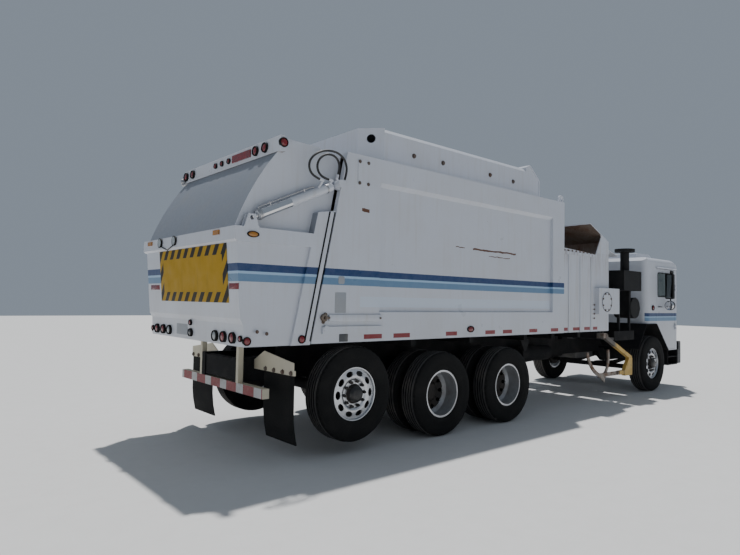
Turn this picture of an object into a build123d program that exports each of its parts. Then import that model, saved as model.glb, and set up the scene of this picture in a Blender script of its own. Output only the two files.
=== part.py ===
from build123d import *
import math
import os

# Side loading garbage truck with a lifting tailgate, a raised tag axle and a side arm.
# Millimetres. X runs forward, Y to the driver's left, Z up, and the ground is Z 0.
# Stations along X are measured from the rear drive axle; place() moves them so that
# the origin lies under the middle of the overall length.

# Overall
REAR_END = -2925.0          # rearmost point: the edge of the tailgate's ledge
FRONT_END = 7600.0          # face of the front bumper
X0 = -(REAR_END + FRONT_END) / 2
FIT = 0.3                   # gap between pieces that seat on a curved face

# Wheels and axles
DRIVE_AXLES = (0.0, 1370.0)
TAG_AXLE = -1390.0
TAG_RAISED = 120.0          # the tag axle is held up off the ground
FRONT_AXLE = 6190.0
DRIVE_R = 525.0             # tyre radius
FRONT_R = 540.0
TYRE_W = 280.0
FRONT_TYRE_W = 300.0
RIM_R = 285.0               # bead seat radius
RIM_W = 210.0
RIM_T = 13.0
FLANGE_H = 12.0
FLANGE_T = 8.0
OUTER_Y = 1125.0            # centre of the outer dual tyre
DUAL_PITCH = 340.0
TAG_Y = 1088.0              # centre of the single tag tyre
FRONT_Y = 1065.0
SPINDLE_R = 45.0
HUB_R = 112.0
DRUM_R = 208.0
DISC_Y = -DUAL_PITCH / 2    # where the two dual discs meet, from the outer wheel's centre
SHAFT_R = 45.0

# Chassis rails
RAIL_Y = 430.0              # outer face of a rail
RAIL_W = 85.0
RAIL_T = 11.0
RAIL_TOP = 1030.0
RAIL_H = 270.0
RAIL_REAR = -2440.0
RAIL_FRONT = 7440.0
DROP_TOP = 760.0            # the rails step down under the low cab
DROP_H = 200.0
DROP_AT = (5480.0, 5760.0)

BUMPER_Z = (660.0, 760.0)
FLAP_X = -2208.0            # rear face of a mud flap
FLAP_T = 12.0
FLAP_Y = (630.0, 1212.0)
FLAP_TOP = 960.0

# Refuse body
BODY_W = 2440.0
BODY_BOTTOM = 1217.0
BODY_TOP = 3300.0
BODY_FRONT = 2860.0
POST_W = 330.0              # front post
REAR_POST = -1080.0         # front edge of the rear post
PANEL_IN = 45.0             # side panel set in between posts and rails
WALL = 60.0
RAIL_LOW = 1560.0           # panel's lower edge
RAIL_HIGH = 3030.0          # lower edge of the top rail
SEAM_SLOPE = 0.21           # the tailgate seam leans forward going up
SEAM_AT_TOP = -1574.0
SEAM_GAP = 12.0
SILL_W = 90.0
SILL_REAR = -1900.0
SILL_FRONT = 3900.0

# Cover over the roof tanks
HOOD_REAR = -755.0
HOOD_FRONT = 2270.0
HOOD_W = 1800.0
HOOD_TOP = 3810.0
HOOD_CHAMFER = 55.0
HOOD_TAIL = -985.0
HOOD_TAIL_W = 1320.0
HOOD_T = 12.0
NOSE_FRONT = 2648.0
NOSE_TOP = 3882.0
NOSE_SHOULDER = 3664.0

# Hopper in front of the body
HOPPER_FRONT = 4400.0
HOPPER_Y = 1180.0
HOPPER_T = 14.0
LOAD_EDGE = 2560.0          # loading edge on the kerb side
LOAD_END = 3950.0
HOPPER_PEAK = (3762.0, 3068.0)
HOPPER_BROW = 2803.0
HOPPER_RISE = (4130.0, 2850.0)
COVER_END = 4960.0          # front edge of the sloping cover ahead of the hopper
PACK_TOP = 2350.0           # top of the opening between the hopper and the body

# Tailgate
TG_REAR = -2790.0
TG_LEDGE = -2900.0
TG_BOTTOM = 1208.0
LEDGE_LOW = 2215.0
LEDGE_TOP = 2360.0
TG_W = 2440.0
TG_PANEL_IN = 30.0
TG_UPPER_W = 2240.0
TG_WALL = 40.0
FRAME_STEP = 240.0          # breadth of the tailgate's front frame
FRAME_TOP = 2630.0
BAR_X = -2380.0             # face of the lamp bar
BAR_LOW = 3165.0
BAR_TOP = 3325.0
HINGE = (-1560.0, 3430.0)
HINGE_Y = 560.0
HINGE_PIN_R = 30.0
BEVEL_Z = (1425.0, 1480.0)
LOW_IN = 25.0
FOOT_LEAN = 12.0
BAR_PROUD = 32.0            # the lamp bar stands this far behind BAR_X
TG_CURVE = ((-2862.0, LEDGE_TOP), (-2672.0, 2772.0), (-2404.0, BAR_LOW))
COVER_X = (-1430.0, -1260.0)
COVER_Z = (2956.0, 3245.0)
COVER_T = 8.0

# Tailgate cylinders
CYL_Y = 1180.0
CYL_PIN = (-1700.0, 2920.0)
ROD_PIN = (-2726.0, 2450.0)
BARREL_R = 50.0
ROD_R = 25.0
PIN_R = 22.0
CYL_STROKE_ROOM = 90.0

EYE_T = 26.0                # eyes of the barrel and the rod
EYE_R = 34.0
FORK_GAP = 1.0
SWIVEL_R = 40.0
HOSE_R = 12.0
FITTING_L = 45.0
HOSES = (
    # name, y, root of its lower fitting on the barrel, route from there round to the pin's swivel
    ("outer", 1278.0, (-1948.0, 2828.0),
     [(-1988, 2925), (-2066, 2945), (-2120, 3003), (-2124, 3084), (-2079, 3152), (-2010, 3203), (-1926, 3237),
      (-1836, 3250), (-1748, 3240), (-1672, 3196), (-1634, 3120), (-1636, 3036), (-1662, 2960)]),
    ("inner", 1250.0, (-1806.0, 2892.0),
     [(-1850, 2945), (-1924, 2955), (-1984, 2998), (-2006, 3066), (-1984, 3136), (-1930, 3190), (-1855, 3218),
      (-1777, 3211), (-1722, 3160), (-1708, 3086), (-1730, 3014)]),
)

# Lamps on the tailgate
LAMP_DEPTH = 14.0
LAMP_Z = 3247.0             # upper row, on the bar
LOW_LAMP_Z = 1288.0
LEDGE_LAMP_Z = 2318.0
BAR_LAMPS = ((1115, 45), (914, 45), (260, 28), (94, 28), (-77, 28), (-698, 45), (-893, 45))
LOW_LAMPS = ((609, 48), (795, 48), (990, 48), (1147, 26))

# Cab
CAB_REAR = 5980.0
CAB_FRONT = 7520.0
CAB_HALF = 1170.0
CAB_TOP = 2635.0
CAB_LOW = 765.0
CAB_T = 42.0
CAB_CORNER = 120.0          # rounding of the upright corners
CAB_BROW = 95.0             # rounding along the roof's sides
ROOF_POD = (6400.0, 7160.0)
GRILLE_Z = (1000.0, 1430.0)
STEP_X = (6960.0, 7440.0)
STEP_Z = 455.0
ARCH_TOP = 1320.0
ARCH_FRONT = 6930.0
DOOR_REAR = 6365.0
DOOR_FRONT = 7290.0
DOOR_GAP = 6.0
DOOR_TOP = 2420.0
SILL_GLASS = 1860.0
GLASS_TOP = 2345.0
GLASS_T = 6.0
DOOR_HINGE_R = 14.0

# Side arm. It folds away along the kerb side, under the hopper.
ARM_X = 4220.0              # centre of the beam that reaches out sideways
ARM_Z = 1135.0
BEAM_W = 90.0
SLEEVE_T = 14.0
SLIDE_FIT = 0.5
SLEEVE_Y = (-1080.0, 560.0)
BOOM_Y = -1165.0            # middle of the boom's thickness
BOOM_T = 64.0
BOOM_HUB_R = 44.0
BOOM_PIN_R = 24.0
BEAM_DEPTH = 70.0
ELBOW = (5255.0, 700.0)
BOOM_FOOT = 385.0
HAND_Z = 450.0
HAND_X = 4790.0             # joint between the boom's foot and the hand
HAND_PIN_R = 20.0
FINGER_T = 24.0
FINGER_W = 62.0
FINGER_PINS = (4330.0, 4110.0)
FINGER_TIPS = ((4455.0, 852.0), (3651.0, 840.0))
FINGER_PIN_R = 16.0

# Kingpins
KINGPIN_Y = 870.0
KINGPIN_R = 20.0

# Service bay between hopper and cab
ENGINE_X = (4800.0, 5450.0)
ENGINE_Z = (640.0, 1450.0)
ENGINE_HALF = 325.0
DECK_X = (4660.0, 5440.0)
DECK_T = 12.0
DECK_Y = 1160.0

os.makedirs("parts", exist_ok=True)


def block(x, y, z):
    """A box between pairs of coordinates."""
    size = [abs(p[1] - p[0]) for p in (x, y, z)]
    return Pos((x[0] + x[1]) / 2, (y[0] + y[1]) / 2, (z[0] + z[1]) / 2) * Box(*size)


def side_shape(points, y0, y1):
    """A plate with its outline in X and Z, from y0 to y1."""
    wire = Polyline(*[(x, y0, z) for x, z in points], close=True)
    return extrude(make_face(wire), amount=y1 - y0, dir=(0, 1, 0))


def plan_shape(points, z0, z1):
    wire = Polyline(*[(x, y, z0) for x, y in points], close=True)
    return extrude(make_face(wire), amount=z1 - z0, dir=(0, 0, 1))


def cross_shape(points, x0, x1):
    wire = Polyline(*[(x0, y, z) for y, z in points], close=True)
    return extrude(make_face(wire), amount=x1 - x0, dir=(1, 0, 0))


def turned(points):
    """A ring round the Y axis from an outline of (y, radius) points."""
    wire = Polyline(*[(0, y, r) for y, r in points], close=True)
    return revolve(make_face(wire), axis=Axis.Y)


def rod(p, q, r):
    """A round bar from p to q."""
    a, b = Vector(*p), Vector(*q)
    length = (b - a).length
    return Plane(origin=a, z_dir=b - a) * Pos(0, 0, length / 2) * Cylinder(r, length)


def rod_y(x, z, y0, y1, r):
    return rod((x, y0, z), (x, y1, z), r)


def rod_x(y, z, x0, x1, r):
    return rod((x0, y, z), (x1, y, z), r)


def rod_z(x, y, z0, z1, r):
    return rod((x, y, z0), (x, y, z1), r)


def both_sides(shape):
    return shape + mirror(shape, about=Plane.XZ)


def arc_plate(arc, rest, y0, y1):
    """A plate in X and Z: an arc through three points, then straight edges back to its start."""
    start, middle, end = [(x, y0, z) for x, z in arc]
    edges = ThreePointArc(start, middle, end) + Polyline(end, *[(x, y0, z) for x, z in rest], start)
    return extrude(make_face(edges), amount=y1 - y0, dir=(0, 1, 0))


def arc_centre(a, b, c):
    """Centre of the circle through three points."""
    d = 2 * (a[0] * (b[1] - c[1]) + b[0] * (c[1] - a[1]) + c[0] * (a[1] - b[1]))
    aa, bb, cc = [p[0] ** 2 + p[1] ** 2 for p in (a, b, c)]
    return ((aa * (b[1] - c[1]) + bb * (c[1] - a[1]) + cc * (a[1] - b[1])) / d,
            (aa * (c[0] - b[0]) + bb * (a[0] - c[0]) + cc * (b[0] - a[0])) / d)


def arc_bar(points, width, y0, y1):
    """A bar of even width along the arc through three points in X and Z."""
    cx, cz = arc_centre(*points)
    rims = []
    for side in (-1, 1):
        rim = []
        for x, z in points:
            reach = math.hypot(x - cx, z - cz)
            k = (reach + side * width / 2) / reach
            rim.append((cx + (x - cx) * k, y0, cz + (z - cz) * k))
        rims.append(rim)
    inner, outer = rims
    edges = ThreePointArc(*inner) + Line(inner[2], outer[2])
    edges += ThreePointArc(*reversed(outer)) + Line(outer[0], inner[0])
    return extrude(make_face(edges), amount=y1 - y0, dir=(0, 1, 0))


def place(shape):
    return Pos(X0, 0, 0) * shape


def save(name, shape):
    export_step(place(shape), f"parts/{name}.step")


def seam(z, back=0.0):
    """Station of the tailgate seam at height z."""
    return SEAM_AT_TOP - (BODY_TOP - z) * SEAM_SLOPE - back


# Chassis
def frame_rails():
    top, low = RAIL_TOP, RAIL_TOP - RAIL_H
    outline = [
        (RAIL_REAR, low), (RAIL_REAR, top), (DROP_AT[0], top), (DROP_AT[1], DROP_TOP),
        (RAIL_FRONT, DROP_TOP), (RAIL_FRONT, DROP_TOP - DROP_H),
        (DROP_AT[1] - 60, DROP_TOP - DROP_H), (DROP_AT[0] - 60, low),
    ]
    face = make_face(Polyline(*[(x, 0, z) for x, z in outline], close=True))
    rail = extrude(face, amount=RAIL_W, dir=(0, 1, 0))
    pocket = extrude(offset(face, -RAIL_T), amount=RAIL_W - RAIL_T, dir=(0, 1, 0))
    rail = Pos(0, RAIL_Y - RAIL_W, 0) * (rail - pocket)
    rails = both_sides(rail + tow_eye())
    inner = RAIL_Y - RAIL_T
    members = []
    for x, low_z, high_z in (
        (RAIL_REAR + 60, 780, 1010), (-700, 850, 1010), (685, 780, 1010), (2300, 780, 1010),
        (3800, 780, 1010), (RAIL_FRONT - 100, DROP_TOP - 180, DROP_TOP - 20),
    ):
        members.append(block((x - 50, x + 50), (-inner, inner), (low_z, high_z)))
    decks = both_sides(service_deck())
    return Compound([*rails.solids(), *members, *decks.solids(), *body_sills().solids()])


def tow_eye():
    """A plate with a hole that reaches forward under the bumper from each rail."""
    low = DROP_TOP - DROP_H
    plate = side_shape(
        [(RAIL_FRONT - 110, low), (RAIL_FRONT, low), (RAIL_FRONT, 464), (7560, 464), (7575, 440),
         (7575, 400), (7560, 385), (RAIL_FRONT - 40, 385), (RAIL_FRONT - 110, 470)], RAIL_Y - 60, RAIL_Y - 25)
    return plate - rod_y(7535, 425, RAIL_Y - 80, RAIL_Y, 21)


def spindle(x, z, y_in, y_out, r=SPINDLE_R - FIT):
    return rod_y(x, z, y_in, y_out, r)


def drive_tandem():
    """Two driven axles on walking beams with a saddle at the middle."""
    made = None
    for x in DRIVE_AXLES:
        axle = rod_y(x, DRIVE_R, -560, 560, 75) + Pos(x, 0, DRIVE_R) * Sphere(190)
        axle += both_sides(spindle(x, DRIVE_R, 540, OUTER_Y + DISC_Y + 25))
        made = axle if made is None else made + axle
    middle = sum(DRIVE_AXLES) / 2
    beam = side_shape(
        [(-90, 470), (-90, 580), (middle - 160, 640), (middle + 160, 640), (DRIVE_AXLES[1] + 90, 580),
         (DRIVE_AXLES[1] + 90, 470), (middle + 160, 440), (middle - 160, 440)], 455, 545)
    saddle = side_shape(
        [(middle - 230, 760), (middle + 230, 760), (middle + 110, 560), (middle - 110, 560)], 350, 455)
    shaft = rod((DRIVE_AXLES[1] + 160, 0, DRIVE_R + 20), (ENGINE_X[0] - 3, 0, ENGINE_Z[0] + 60), SHAFT_R)
    return made + both_sides(beam + saddle) + shaft


def tag_axle():
    """The raised axle on trailing arms, hung from the rails."""
    z = DRIVE_R + TAG_RAISED
    axle = rod_y(TAG_AXLE, z, -700, 700, 65) + both_sides(spindle(TAG_AXLE, z, 690, 1180))
    arm = side_shape(
        [(TAG_AXLE - 90, z - 45), (TAG_AXLE - 90, z + 45), (TAG_AXLE + 560, z - 60),
         (TAG_AXLE + 560, z - 190)], 350, 425)
    hanger = side_shape(
        [(TAG_AXLE + 470, 760), (TAG_AXLE + 640, 760), (TAG_AXLE + 600, z - 200),
         (TAG_AXLE + 520, z - 200)], 350, 425)
    return axle + both_sides(arm + hanger)


def front_axle():
    """Dropped beam with kingpin eyes, on two leaf springs."""
    beam = block((FRONT_AXLE - 50, FRONT_AXLE + 50), (-800, 800), (385, 470))
    rise = cross_shape([(700, 385), (700, 470), (760, 590), (870, 590), (870, 490), (790, 490), (770, 385)],
                       FRONT_AXLE - 45, FRONT_AXLE + 45)
    eye = rod_z(FRONT_AXLE, KINGPIN_Y, 482, 598, 44)
    hole = rod_z(FRONT_AXLE, KINGPIN_Y, 400, 700, KINGPIN_R + FIT)
    leaf = side_shape(
        [(5480, 560), (5620, 560), (FRONT_AXLE - 110, 530), (FRONT_AXLE + 110, 530), (6760, 560),
         (6900, 560), (6900, 540), (FRONT_AXLE + 110, 470), (FRONT_AXLE - 110, 470), (5480, 540)],
        RAIL_Y - RAIL_W, RAIL_Y)
    return beam + both_sides(((rise + eye) - hole) + leaf)


def knuckle(side):
    """Fork round the beam's eye, with the wheel spindle."""
    made = rod_z(FRONT_AXLE, KINGPIN_Y, 430, 481, 58) + rod_z(FRONT_AXLE, KINGPIN_Y, 599, 650, 58)
    made += rod_z(FRONT_AXLE, KINGPIN_Y, 440, 640, KINGPIN_R)
    made += block((FRONT_AXLE - 58, FRONT_AXLE + 58), (KINGPIN_Y + 50, KINGPIN_Y + 85), (430, 650))
    fork = block((FRONT_AXLE - 58, FRONT_AXLE + 58), (KINGPIN_Y, KINGPIN_Y + 60), (430, 481))
    fork += block((FRONT_AXLE - 58, FRONT_AXLE + 58), (KINGPIN_Y, KINGPIN_Y + 60), (599, 650))
    made += fork + spindle(FRONT_AXLE, FRONT_R, KINGPIN_Y + 80, 1175)
    return made if side > 0 else mirror(made, about=Plane.XZ)


# Wheels. Each is made round the Y axis at the origin, outer side towards +Y.
def tyre(radius, width):
    hw = width / 2
    seat = RIM_R + FIT
    lip = RIM_R + FLANGE_H + 1
    inner = RIM_W / 2 - FLANGE_T - FIT
    return turned([
        (-inner, seat), (-inner, lip), (-hw + 25, lip), (-hw, radius * 0.77), (-hw + 22, radius - 16),
        (-hw + 45, radius), (hw - 45, radius), (hw - 22, radius - 16), (hw, radius * 0.77),
        (hw - 25, lip), (inner, lip), (inner, seat),
    ])


def rim_ring():
    hw = RIM_W / 2
    r_in = RIM_R - RIM_T
    return turned([
        (-hw, r_in), (-hw, RIM_R + FLANGE_H), (-hw + FLANGE_T, RIM_R + FLANGE_H), (-hw + FLANGE_T, RIM_R),
        (hw - FLANGE_T, RIM_R), (hw - FLANGE_T, RIM_R + FLANGE_H), (hw, RIM_R + FLANGE_H), (hw, r_in),
    ])


def hand_holes(radius, size, y, count=10):
    holes = None
    for i in range(count):
        a = 2 * math.pi * (i + 0.5) / count
        hole = rod_y(radius * math.sin(a), radius * math.cos(a), y - 80, y + 80, size)
        holes = hole if holes is None else holes + hole
    return holes


def steer_wheel(face, inward):
    """Single wheel: convex disc near the outer flange, hub and brake drum behind it."""
    hw = RIM_W / 2
    r_in = RIM_R - RIM_T
    disc = turned([
        (hw - 42, r_in + 3), (hw - 20, r_in + 3), (face + 4, 225), (face + 16, 190), (face, 150),
        (face, 60), (face - 16, 60), (face - 16, 150), (face, 190), (face - 12, 225),
    ])
    hub = turned([
        (-inward, SPINDLE_R), (-inward, HUB_R + 10), (face - 16, HUB_R + 10),
        (face + 6, 100), (face + 55, 82),
        (face + 68, 60), (face + 68, 0), (face + 40, 0), (face + 40, SPINDLE_R),
    ])
    drum = turned([
        (-inward, HUB_R), (-inward, DRUM_R), (-inward + 170, DRUM_R), (-inward + 170, HUB_R),
    ])
    return rim_ring() + (disc - hand_holes(218, 24, hw - 20)) + hub + drum


def dual_wheel():
    """Outer and inner dished wheels back to back on one hub. Y 0 is the outer wheel's centre."""
    hw = RIM_W / 2
    r_in = RIM_R - RIM_T
    outer = turned([
        (-hw + 8, r_in + 3), (-hw + 30, r_in + 3), (-hw - 30, 185), (DISC_Y + 14, 150), (DISC_Y + 14, 70),
        (DISC_Y, 70), (DISC_Y, 160), (-hw - 44, 190),
    ])
    inner = mirror(outer, about=Plane.XZ.offset(-DISC_Y))
    holes = hand_holes(205, 26, DISC_Y)
    rings = rim_ring() + Pos(0, -DUAL_PITCH, 0) * rim_ring()
    hub = turned([
        (-DUAL_PITCH - 150, SPINDLE_R), (-DUAL_PITCH - 150, HUB_R), (DISC_Y + 60, HUB_R), (DISC_Y + 75, 95),
        (DISC_Y + 75, 0), (DISC_Y + 30, 0), (DISC_Y + 30, SPINDLE_R),
    ])
    drum = turned([
        (-DUAL_PITCH - 140, HUB_R - 5), (-DUAL_PITCH - 140, DRUM_R), (-DUAL_PITCH + 60, DRUM_R),
        (-DUAL_PITCH + 60, HUB_R - 5),
    ])
    return rings + ((outer + inner) - holes) + hub + drum


def set_wheel(shape, x, y, z, side):
    """Moves a wheel made at the origin to its axle; the driver's side is +1."""
    if side < 0:
        shape = mirror(shape, about=Plane.XZ)
    return Pos(x, side * y, z) * shape


def wheels():
    dual_tyres = tyre(DRIVE_R, TYRE_W)
    dual_tyres = dual_tyres + Pos(0, -DUAL_PITCH, 0) * dual_tyres
    dual = dual_wheel()
    tag_tyre, front_tyre = tyre(DRIVE_R, TYRE_W), tyre(FRONT_R, FRONT_TYRE_W)
    tag, front = steer_wheel(84, 150), steer_wheel(84, 100)
    table = (
        # name, station, y, z, tyre, wheel
        ("front", FRONT_AXLE, FRONT_Y, FRONT_R, front_tyre, front),
        ("drive1", DRIVE_AXLES[1], OUTER_Y, DRIVE_R, dual_tyres, dual),
        ("drive2", DRIVE_AXLES[0], OUTER_Y, DRIVE_R, dual_tyres, dual),
        ("tag", TAG_AXLE, TAG_Y, DRIVE_R + TAG_RAISED, tag_tyre, tag),
    )
    for name, x, y, z, rubber, metal in table:
        for side, word in ((1, "left"), (-1, "right")):
            save(f"tyre_{name}_{word}", set_wheel(rubber, x, y, z, side))
            save(f"wheel_{name}_{word}", set_wheel(metal, x, y, z, side))


# Refuse body
def body_sills():
    sills = both_sides(block((SILL_REAR, SILL_FRONT), (RAIL_Y - SILL_W, RAIL_Y), (RAIL_TOP, BODY_BOTTOM)))
    for x in (-420, 690, 1950, 2700, 3500):
        sills += block((x - 40, x + 40), (-1120, 1120), (BODY_BOTTOM - 90, BODY_BOTTOM))
    under = BODY_BOTTOM - 90
    bracket = side_shape([(1830, under), (2070, under), (1970, 960), (1930, 960)], 1080, 1120)
    return sills + both_sides(bracket)


def body_shell():
    """Hollow box with set in side panels, open to the hopper and to the tailgate."""
    half = BODY_W / 2
    outline = [(seam(BODY_BOTTOM), BODY_BOTTOM), (seam(BODY_TOP), BODY_TOP),
               (BODY_FRONT, BODY_TOP), (BODY_FRONT, BODY_BOTTOM)]
    shell = side_shape(outline, -half, half)
    shell -= block((-2600, BODY_FRONT - WALL), (-half + WALL, half - WALL), (BODY_BOTTOM + 45, BODY_TOP - 45))
    shell -= block((BODY_FRONT - 100, BODY_FRONT + 10), (-half + 90, half - 90), (BODY_BOTTOM + 45, PACK_TOP))
    inner = half - PANEL_IN
    recess = [(inner, RAIL_LOW), (inner, RAIL_HIGH - PANEL_IN), (half + 10, RAIL_HIGH + 10),
              (half + 10, RAIL_LOW - 20)]
    shell -= both_sides(cross_shape(recess, REAR_POST, BODY_FRONT - POST_W))
    latch = side_shape([(-1880, 1315), (-1880, 1392), (-1045, 1392), (-1160, 1315)], half, half + 26)
    latch += rod_y(-1838, 1372, half, half + 34, 32)
    cover = block(COVER_X, (half, half + COVER_T), COVER_Z)
    cover = fillet(cover.edges().filter_by(Axis.Y), 18)
    shell += both_sides(latch) + both_sides(cover)
    for y in (-HINGE_Y, HINGE_Y):
        ear = side_shape([(seam(BODY_TOP) + 10, BODY_TOP), (HINGE[0] - 60, HINGE[1] - 10),
                          (HINGE[0] - 30, HINGE[1] + 60),
                          (HINGE[0] + 40, HINGE[1] + 60), (HINGE[0] + 260, BODY_TOP)], y - 25, y + 25)
        shell += ear
    return shell + both_sides(lift_eye())


def lift_eye():
    """A ring that stands on each front post."""
    x, r = BODY_FRONT - 60, 45
    y0, y1 = BODY_W / 2 - 50, BODY_W / 2 - 22
    ring = rod_y(x, BODY_TOP + 50, y0, y1, r + 18) - rod_y(x, BODY_TOP + 50, y0 - 5, y1 + 5, r - 12)
    return ring - block((x - 100, x + 100), (y0 - 5, y1 + 5), (BODY_TOP - 60, BODY_TOP))


def hood_solid(shrink, floor):
    """The tank cover's outer form, or its inner form when shrink is the wall."""
    half, tail = HOOD_W / 2 - shrink, HOOD_TAIL_W / 2 - shrink
    top = HOOD_TOP - shrink
    plan = [(HOOD_FRONT - shrink, -half), (HOOD_FRONT - shrink, half), (HOOD_REAR, half),
            (HOOD_TAIL + shrink, tail),
            (HOOD_TAIL + shrink, -tail), (HOOD_REAR, -half)]
    solid = plan_shape(plan, floor, top)
    for side in (1, -1):
        c = HOOD_CHAMFER
        solid -= cross_shape([(side * half, top - c), (side * (half - c), top), (side * half, top)],
                             HOOD_REAR, HOOD_FRONT)
    return solid


def roof_hood():
    hood = hood_solid(0, BODY_TOP) - hood_solid(HOOD_T, BODY_TOP - 5)
    vent = rod((-770, 676, 3680), (-970, 884, 3680), 55)
    return hood - both_sides(vent) + hood_nose()


def hood_nose():
    """Wedge in front of the tank cover with a thick dark rim."""
    half = HOOD_W / 2
    profile = [(HOOD_FRONT, BODY_TOP), (HOOD_FRONT, HOOD_TOP + 20), (HOOD_FRONT + 110, NOSE_TOP),
               (NOSE_FRONT, NOSE_SHOULDER), (NOSE_FRONT, BODY_TOP)]
    inner = [(HOOD_FRONT + 20, BODY_TOP - 5), (HOOD_FRONT + 20, HOOD_TOP - 5),
             (HOOD_FRONT + 112, NOSE_TOP - 28),
             (NOSE_FRONT - 20, NOSE_SHOULDER - 10), (NOSE_FRONT - 20, BODY_TOP - 5)]
    nose = side_shape(profile, -half, half) - side_shape(inner, -half + 14, half - 14)
    pocket = [(HOOD_FRONT + 26, BODY_TOP + 30), (HOOD_FRONT + 26, HOOD_TOP - 10),
              (HOOD_FRONT + 112, NOSE_TOP - 36),
              (NOSE_FRONT - 26, NOSE_SHOULDER - 14), (NOSE_FRONT - 26, BODY_TOP + 30)]
    return nose - both_sides(side_shape(pocket, half - 7, half + 5))


# Hopper
def hopper():
    """Open bin with a low loading edge on the kerb side and a raised far side."""
    half, t = HOPPER_Y, HOPPER_T
    back = BODY_FRONT
    kerb = [(back, BODY_BOTTOM), (back, LOAD_EDGE + 30), (LOAD_END, LOAD_EDGE - 20), HOPPER_RISE,
            (HOPPER_RISE[0] - 30, 2904), (HOPPER_FRONT, HOPPER_BROW - 5), (HOPPER_FRONT, BODY_BOTTOM)]
    far = [(back, BODY_BOTTOM), (back, HOPPER_PEAK[1]), (HOPPER_PEAK[0], HOPPER_PEAK[1]),
           (HOPPER_FRONT, HOPPER_BROW - 5), (HOPPER_FRONT, BODY_BOTTOM)]
    made = side_shape(kerb, -half, -half + t) + side_shape(far, half - t, half)
    made += block((back, HOPPER_FRONT), (-half, half), (BODY_BOTTOM, BODY_BOTTOM + t))
    made += block((HOPPER_FRONT - t, HOPPER_FRONT), (-half, half), (BODY_BOTTOM, HOPPER_BROW - 5))
    brow = side_shape([HOPPER_PEAK, (HOPPER_FRONT, HOPPER_BROW - 5), (HOPPER_FRONT, HOPPER_BROW - 20),
                       (HOPPER_PEAK[0], HOPPER_PEAK[1] - 16)], -half, half)
    lip = block((back, LOAD_END - 20), (-half - 16, -half), (LOAD_EDGE - 75, LOAD_EDGE - 25))
    for x in (3080, 3440, 3800):
        made += both_sides(block((x - 30, x + 30), (half, half + 12), (BODY_BOTTOM, LOAD_EDGE - 75)))
    made += side_shape([(HOPPER_FRONT, 2720), (COVER_END, 2585), (COVER_END, 2575),
                        (HOPPER_FRONT, 2706)], -1080, 1080)
    gusset = side_shape([(HOPPER_FRONT, 2712), (HOPPER_FRONT + 330, 2650), (HOPPER_FRONT, 2420)], 1040, 1052)
    return made + brow + lip + both_sides(gusset) + side_pod()


def packer():
    """Ram panel that slides back through the hopper, with its cover plate behind."""
    w = HOPPER_Y - HOPPER_T - 14
    low = BODY_BOTTOM + HOPPER_T + SLIDE_FIT
    front = HOPPER_FRONT - HOPPER_T - 20
    panel = block((front - 330, front - 300), (-w, w), (low, 2080))
    deck = block((front - 330, front - 10), (-w, w), (2040, 2080))
    ribs = None
    for y in (-700, 0, 700):
        rib = block((front - 300, front - 60), (y - 20, y + 20), (low, 2040))
        ribs = rib if ribs is None else ribs + rib
    foot = block((front - 300, front - 10), (-w, w), (low, low + 40))
    return panel + deck + ribs + foot


# Tailgate
def tailgate_shell():
    """Hollow tailgate, open to the body: lower half, ledge, curved upper half and lamp bar."""
    half, upper = TG_W / 2, TG_UPPER_W / 2
    panel = half - TG_PANEL_IN
    gap = SEAM_GAP
    lower = [(seam(TG_BOTTOM, gap), TG_BOTTOM), (foot_face(TG_BOTTOM), TG_BOTTOM),
             (foot_face(BEVEL_Z[0]), BEVEL_Z[0]), (TG_REAR - 20, BEVEL_Z[1]), (-2868, LEDGE_LOW),
             (-2868, LEDGE_TOP), (seam(LEDGE_TOP, gap), LEDGE_TOP)]
    made = side_shape(lower, -panel, panel)
    ledge = [(seam(LEDGE_LOW, gap), LEDGE_LOW), (TG_LEDGE + 25, LEDGE_LOW), (TG_LEDGE, LEDGE_LOW + 18),
             (TG_LEDGE, LEDGE_TOP), (seam(LEDGE_TOP, gap), LEDGE_TOP)]
    made += side_shape(ledge, -half, half)
    frame = [(seam(TG_BOTTOM, gap), TG_BOTTOM), (seam(TG_BOTTOM, FRAME_STEP), TG_BOTTOM),
             (seam(FRAME_TOP, FRAME_STEP), FRAME_TOP - 40), (seam(FRAME_TOP, gap), FRAME_TOP)]
    made += side_shape(frame, -half, half)
    top = [(BAR_X, BAR_TOP), (-2040, BAR_TOP - 15), (-1930, BAR_TOP - 15), (seam(3240, gap), 3240),
           (seam(LEDGE_TOP, gap), LEDGE_TOP)]
    made += arc_plate(TG_CURVE, top, -upper, upper)
    made += block((BAR_X - BAR_PROUD, BAR_X + 30), (-1190, 1190), (BAR_LOW, BAR_TOP))
    wall = TG_WALL
    inner_curve = [(x + 0.92 * wall, z - 0.39 * wall) for x, z in TG_CURVE]
    cavity = [(BAR_X + 40, BAR_TOP - 60), (-2030, BAR_TOP - 60), (seam(3200) + 60, 3200),
              (seam(TG_BOTTOM + wall) + 60, TG_BOTTOM + wall), (TG_REAR + wall + 20, TG_BOTTOM + wall),
              (-2822, LEDGE_LOW)]
    made -= arc_plate(inner_curve, cavity, -upper + wall, upper - wall)
    return made + hinge_arms() + both_sides(rod_lug())


def hinge_arms():
    """Two arms over the seam, forked round the body's ears."""
    made = None
    for y in (-HINGE_Y, HINGE_Y):
        for y0 in (y - 25 - 6 - 28, y + 25 + 6):
            arm = side_shape([(-2040, BAR_TOP - 20), (-1990, 3400), (-1880, 3440),
                              (HINGE[0] - 40, HINGE[1] + 50),
                              (HINGE[0] + 35, HINGE[1] + 40), (HINGE[0] + 35, HINGE[1] - 40),
                              (HINGE[0] - 60, HINGE[1] - 50), (-1700, BAR_TOP + 5), (-1900, BAR_TOP - 20)],
                             y0, y0 + 28)
            made = arm if made is None else made + arm
        pin = rod_y(HINGE[0], HINGE[1], y - 59, y + 59, HINGE_PIN_R)
        made += pin
    return made


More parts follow.
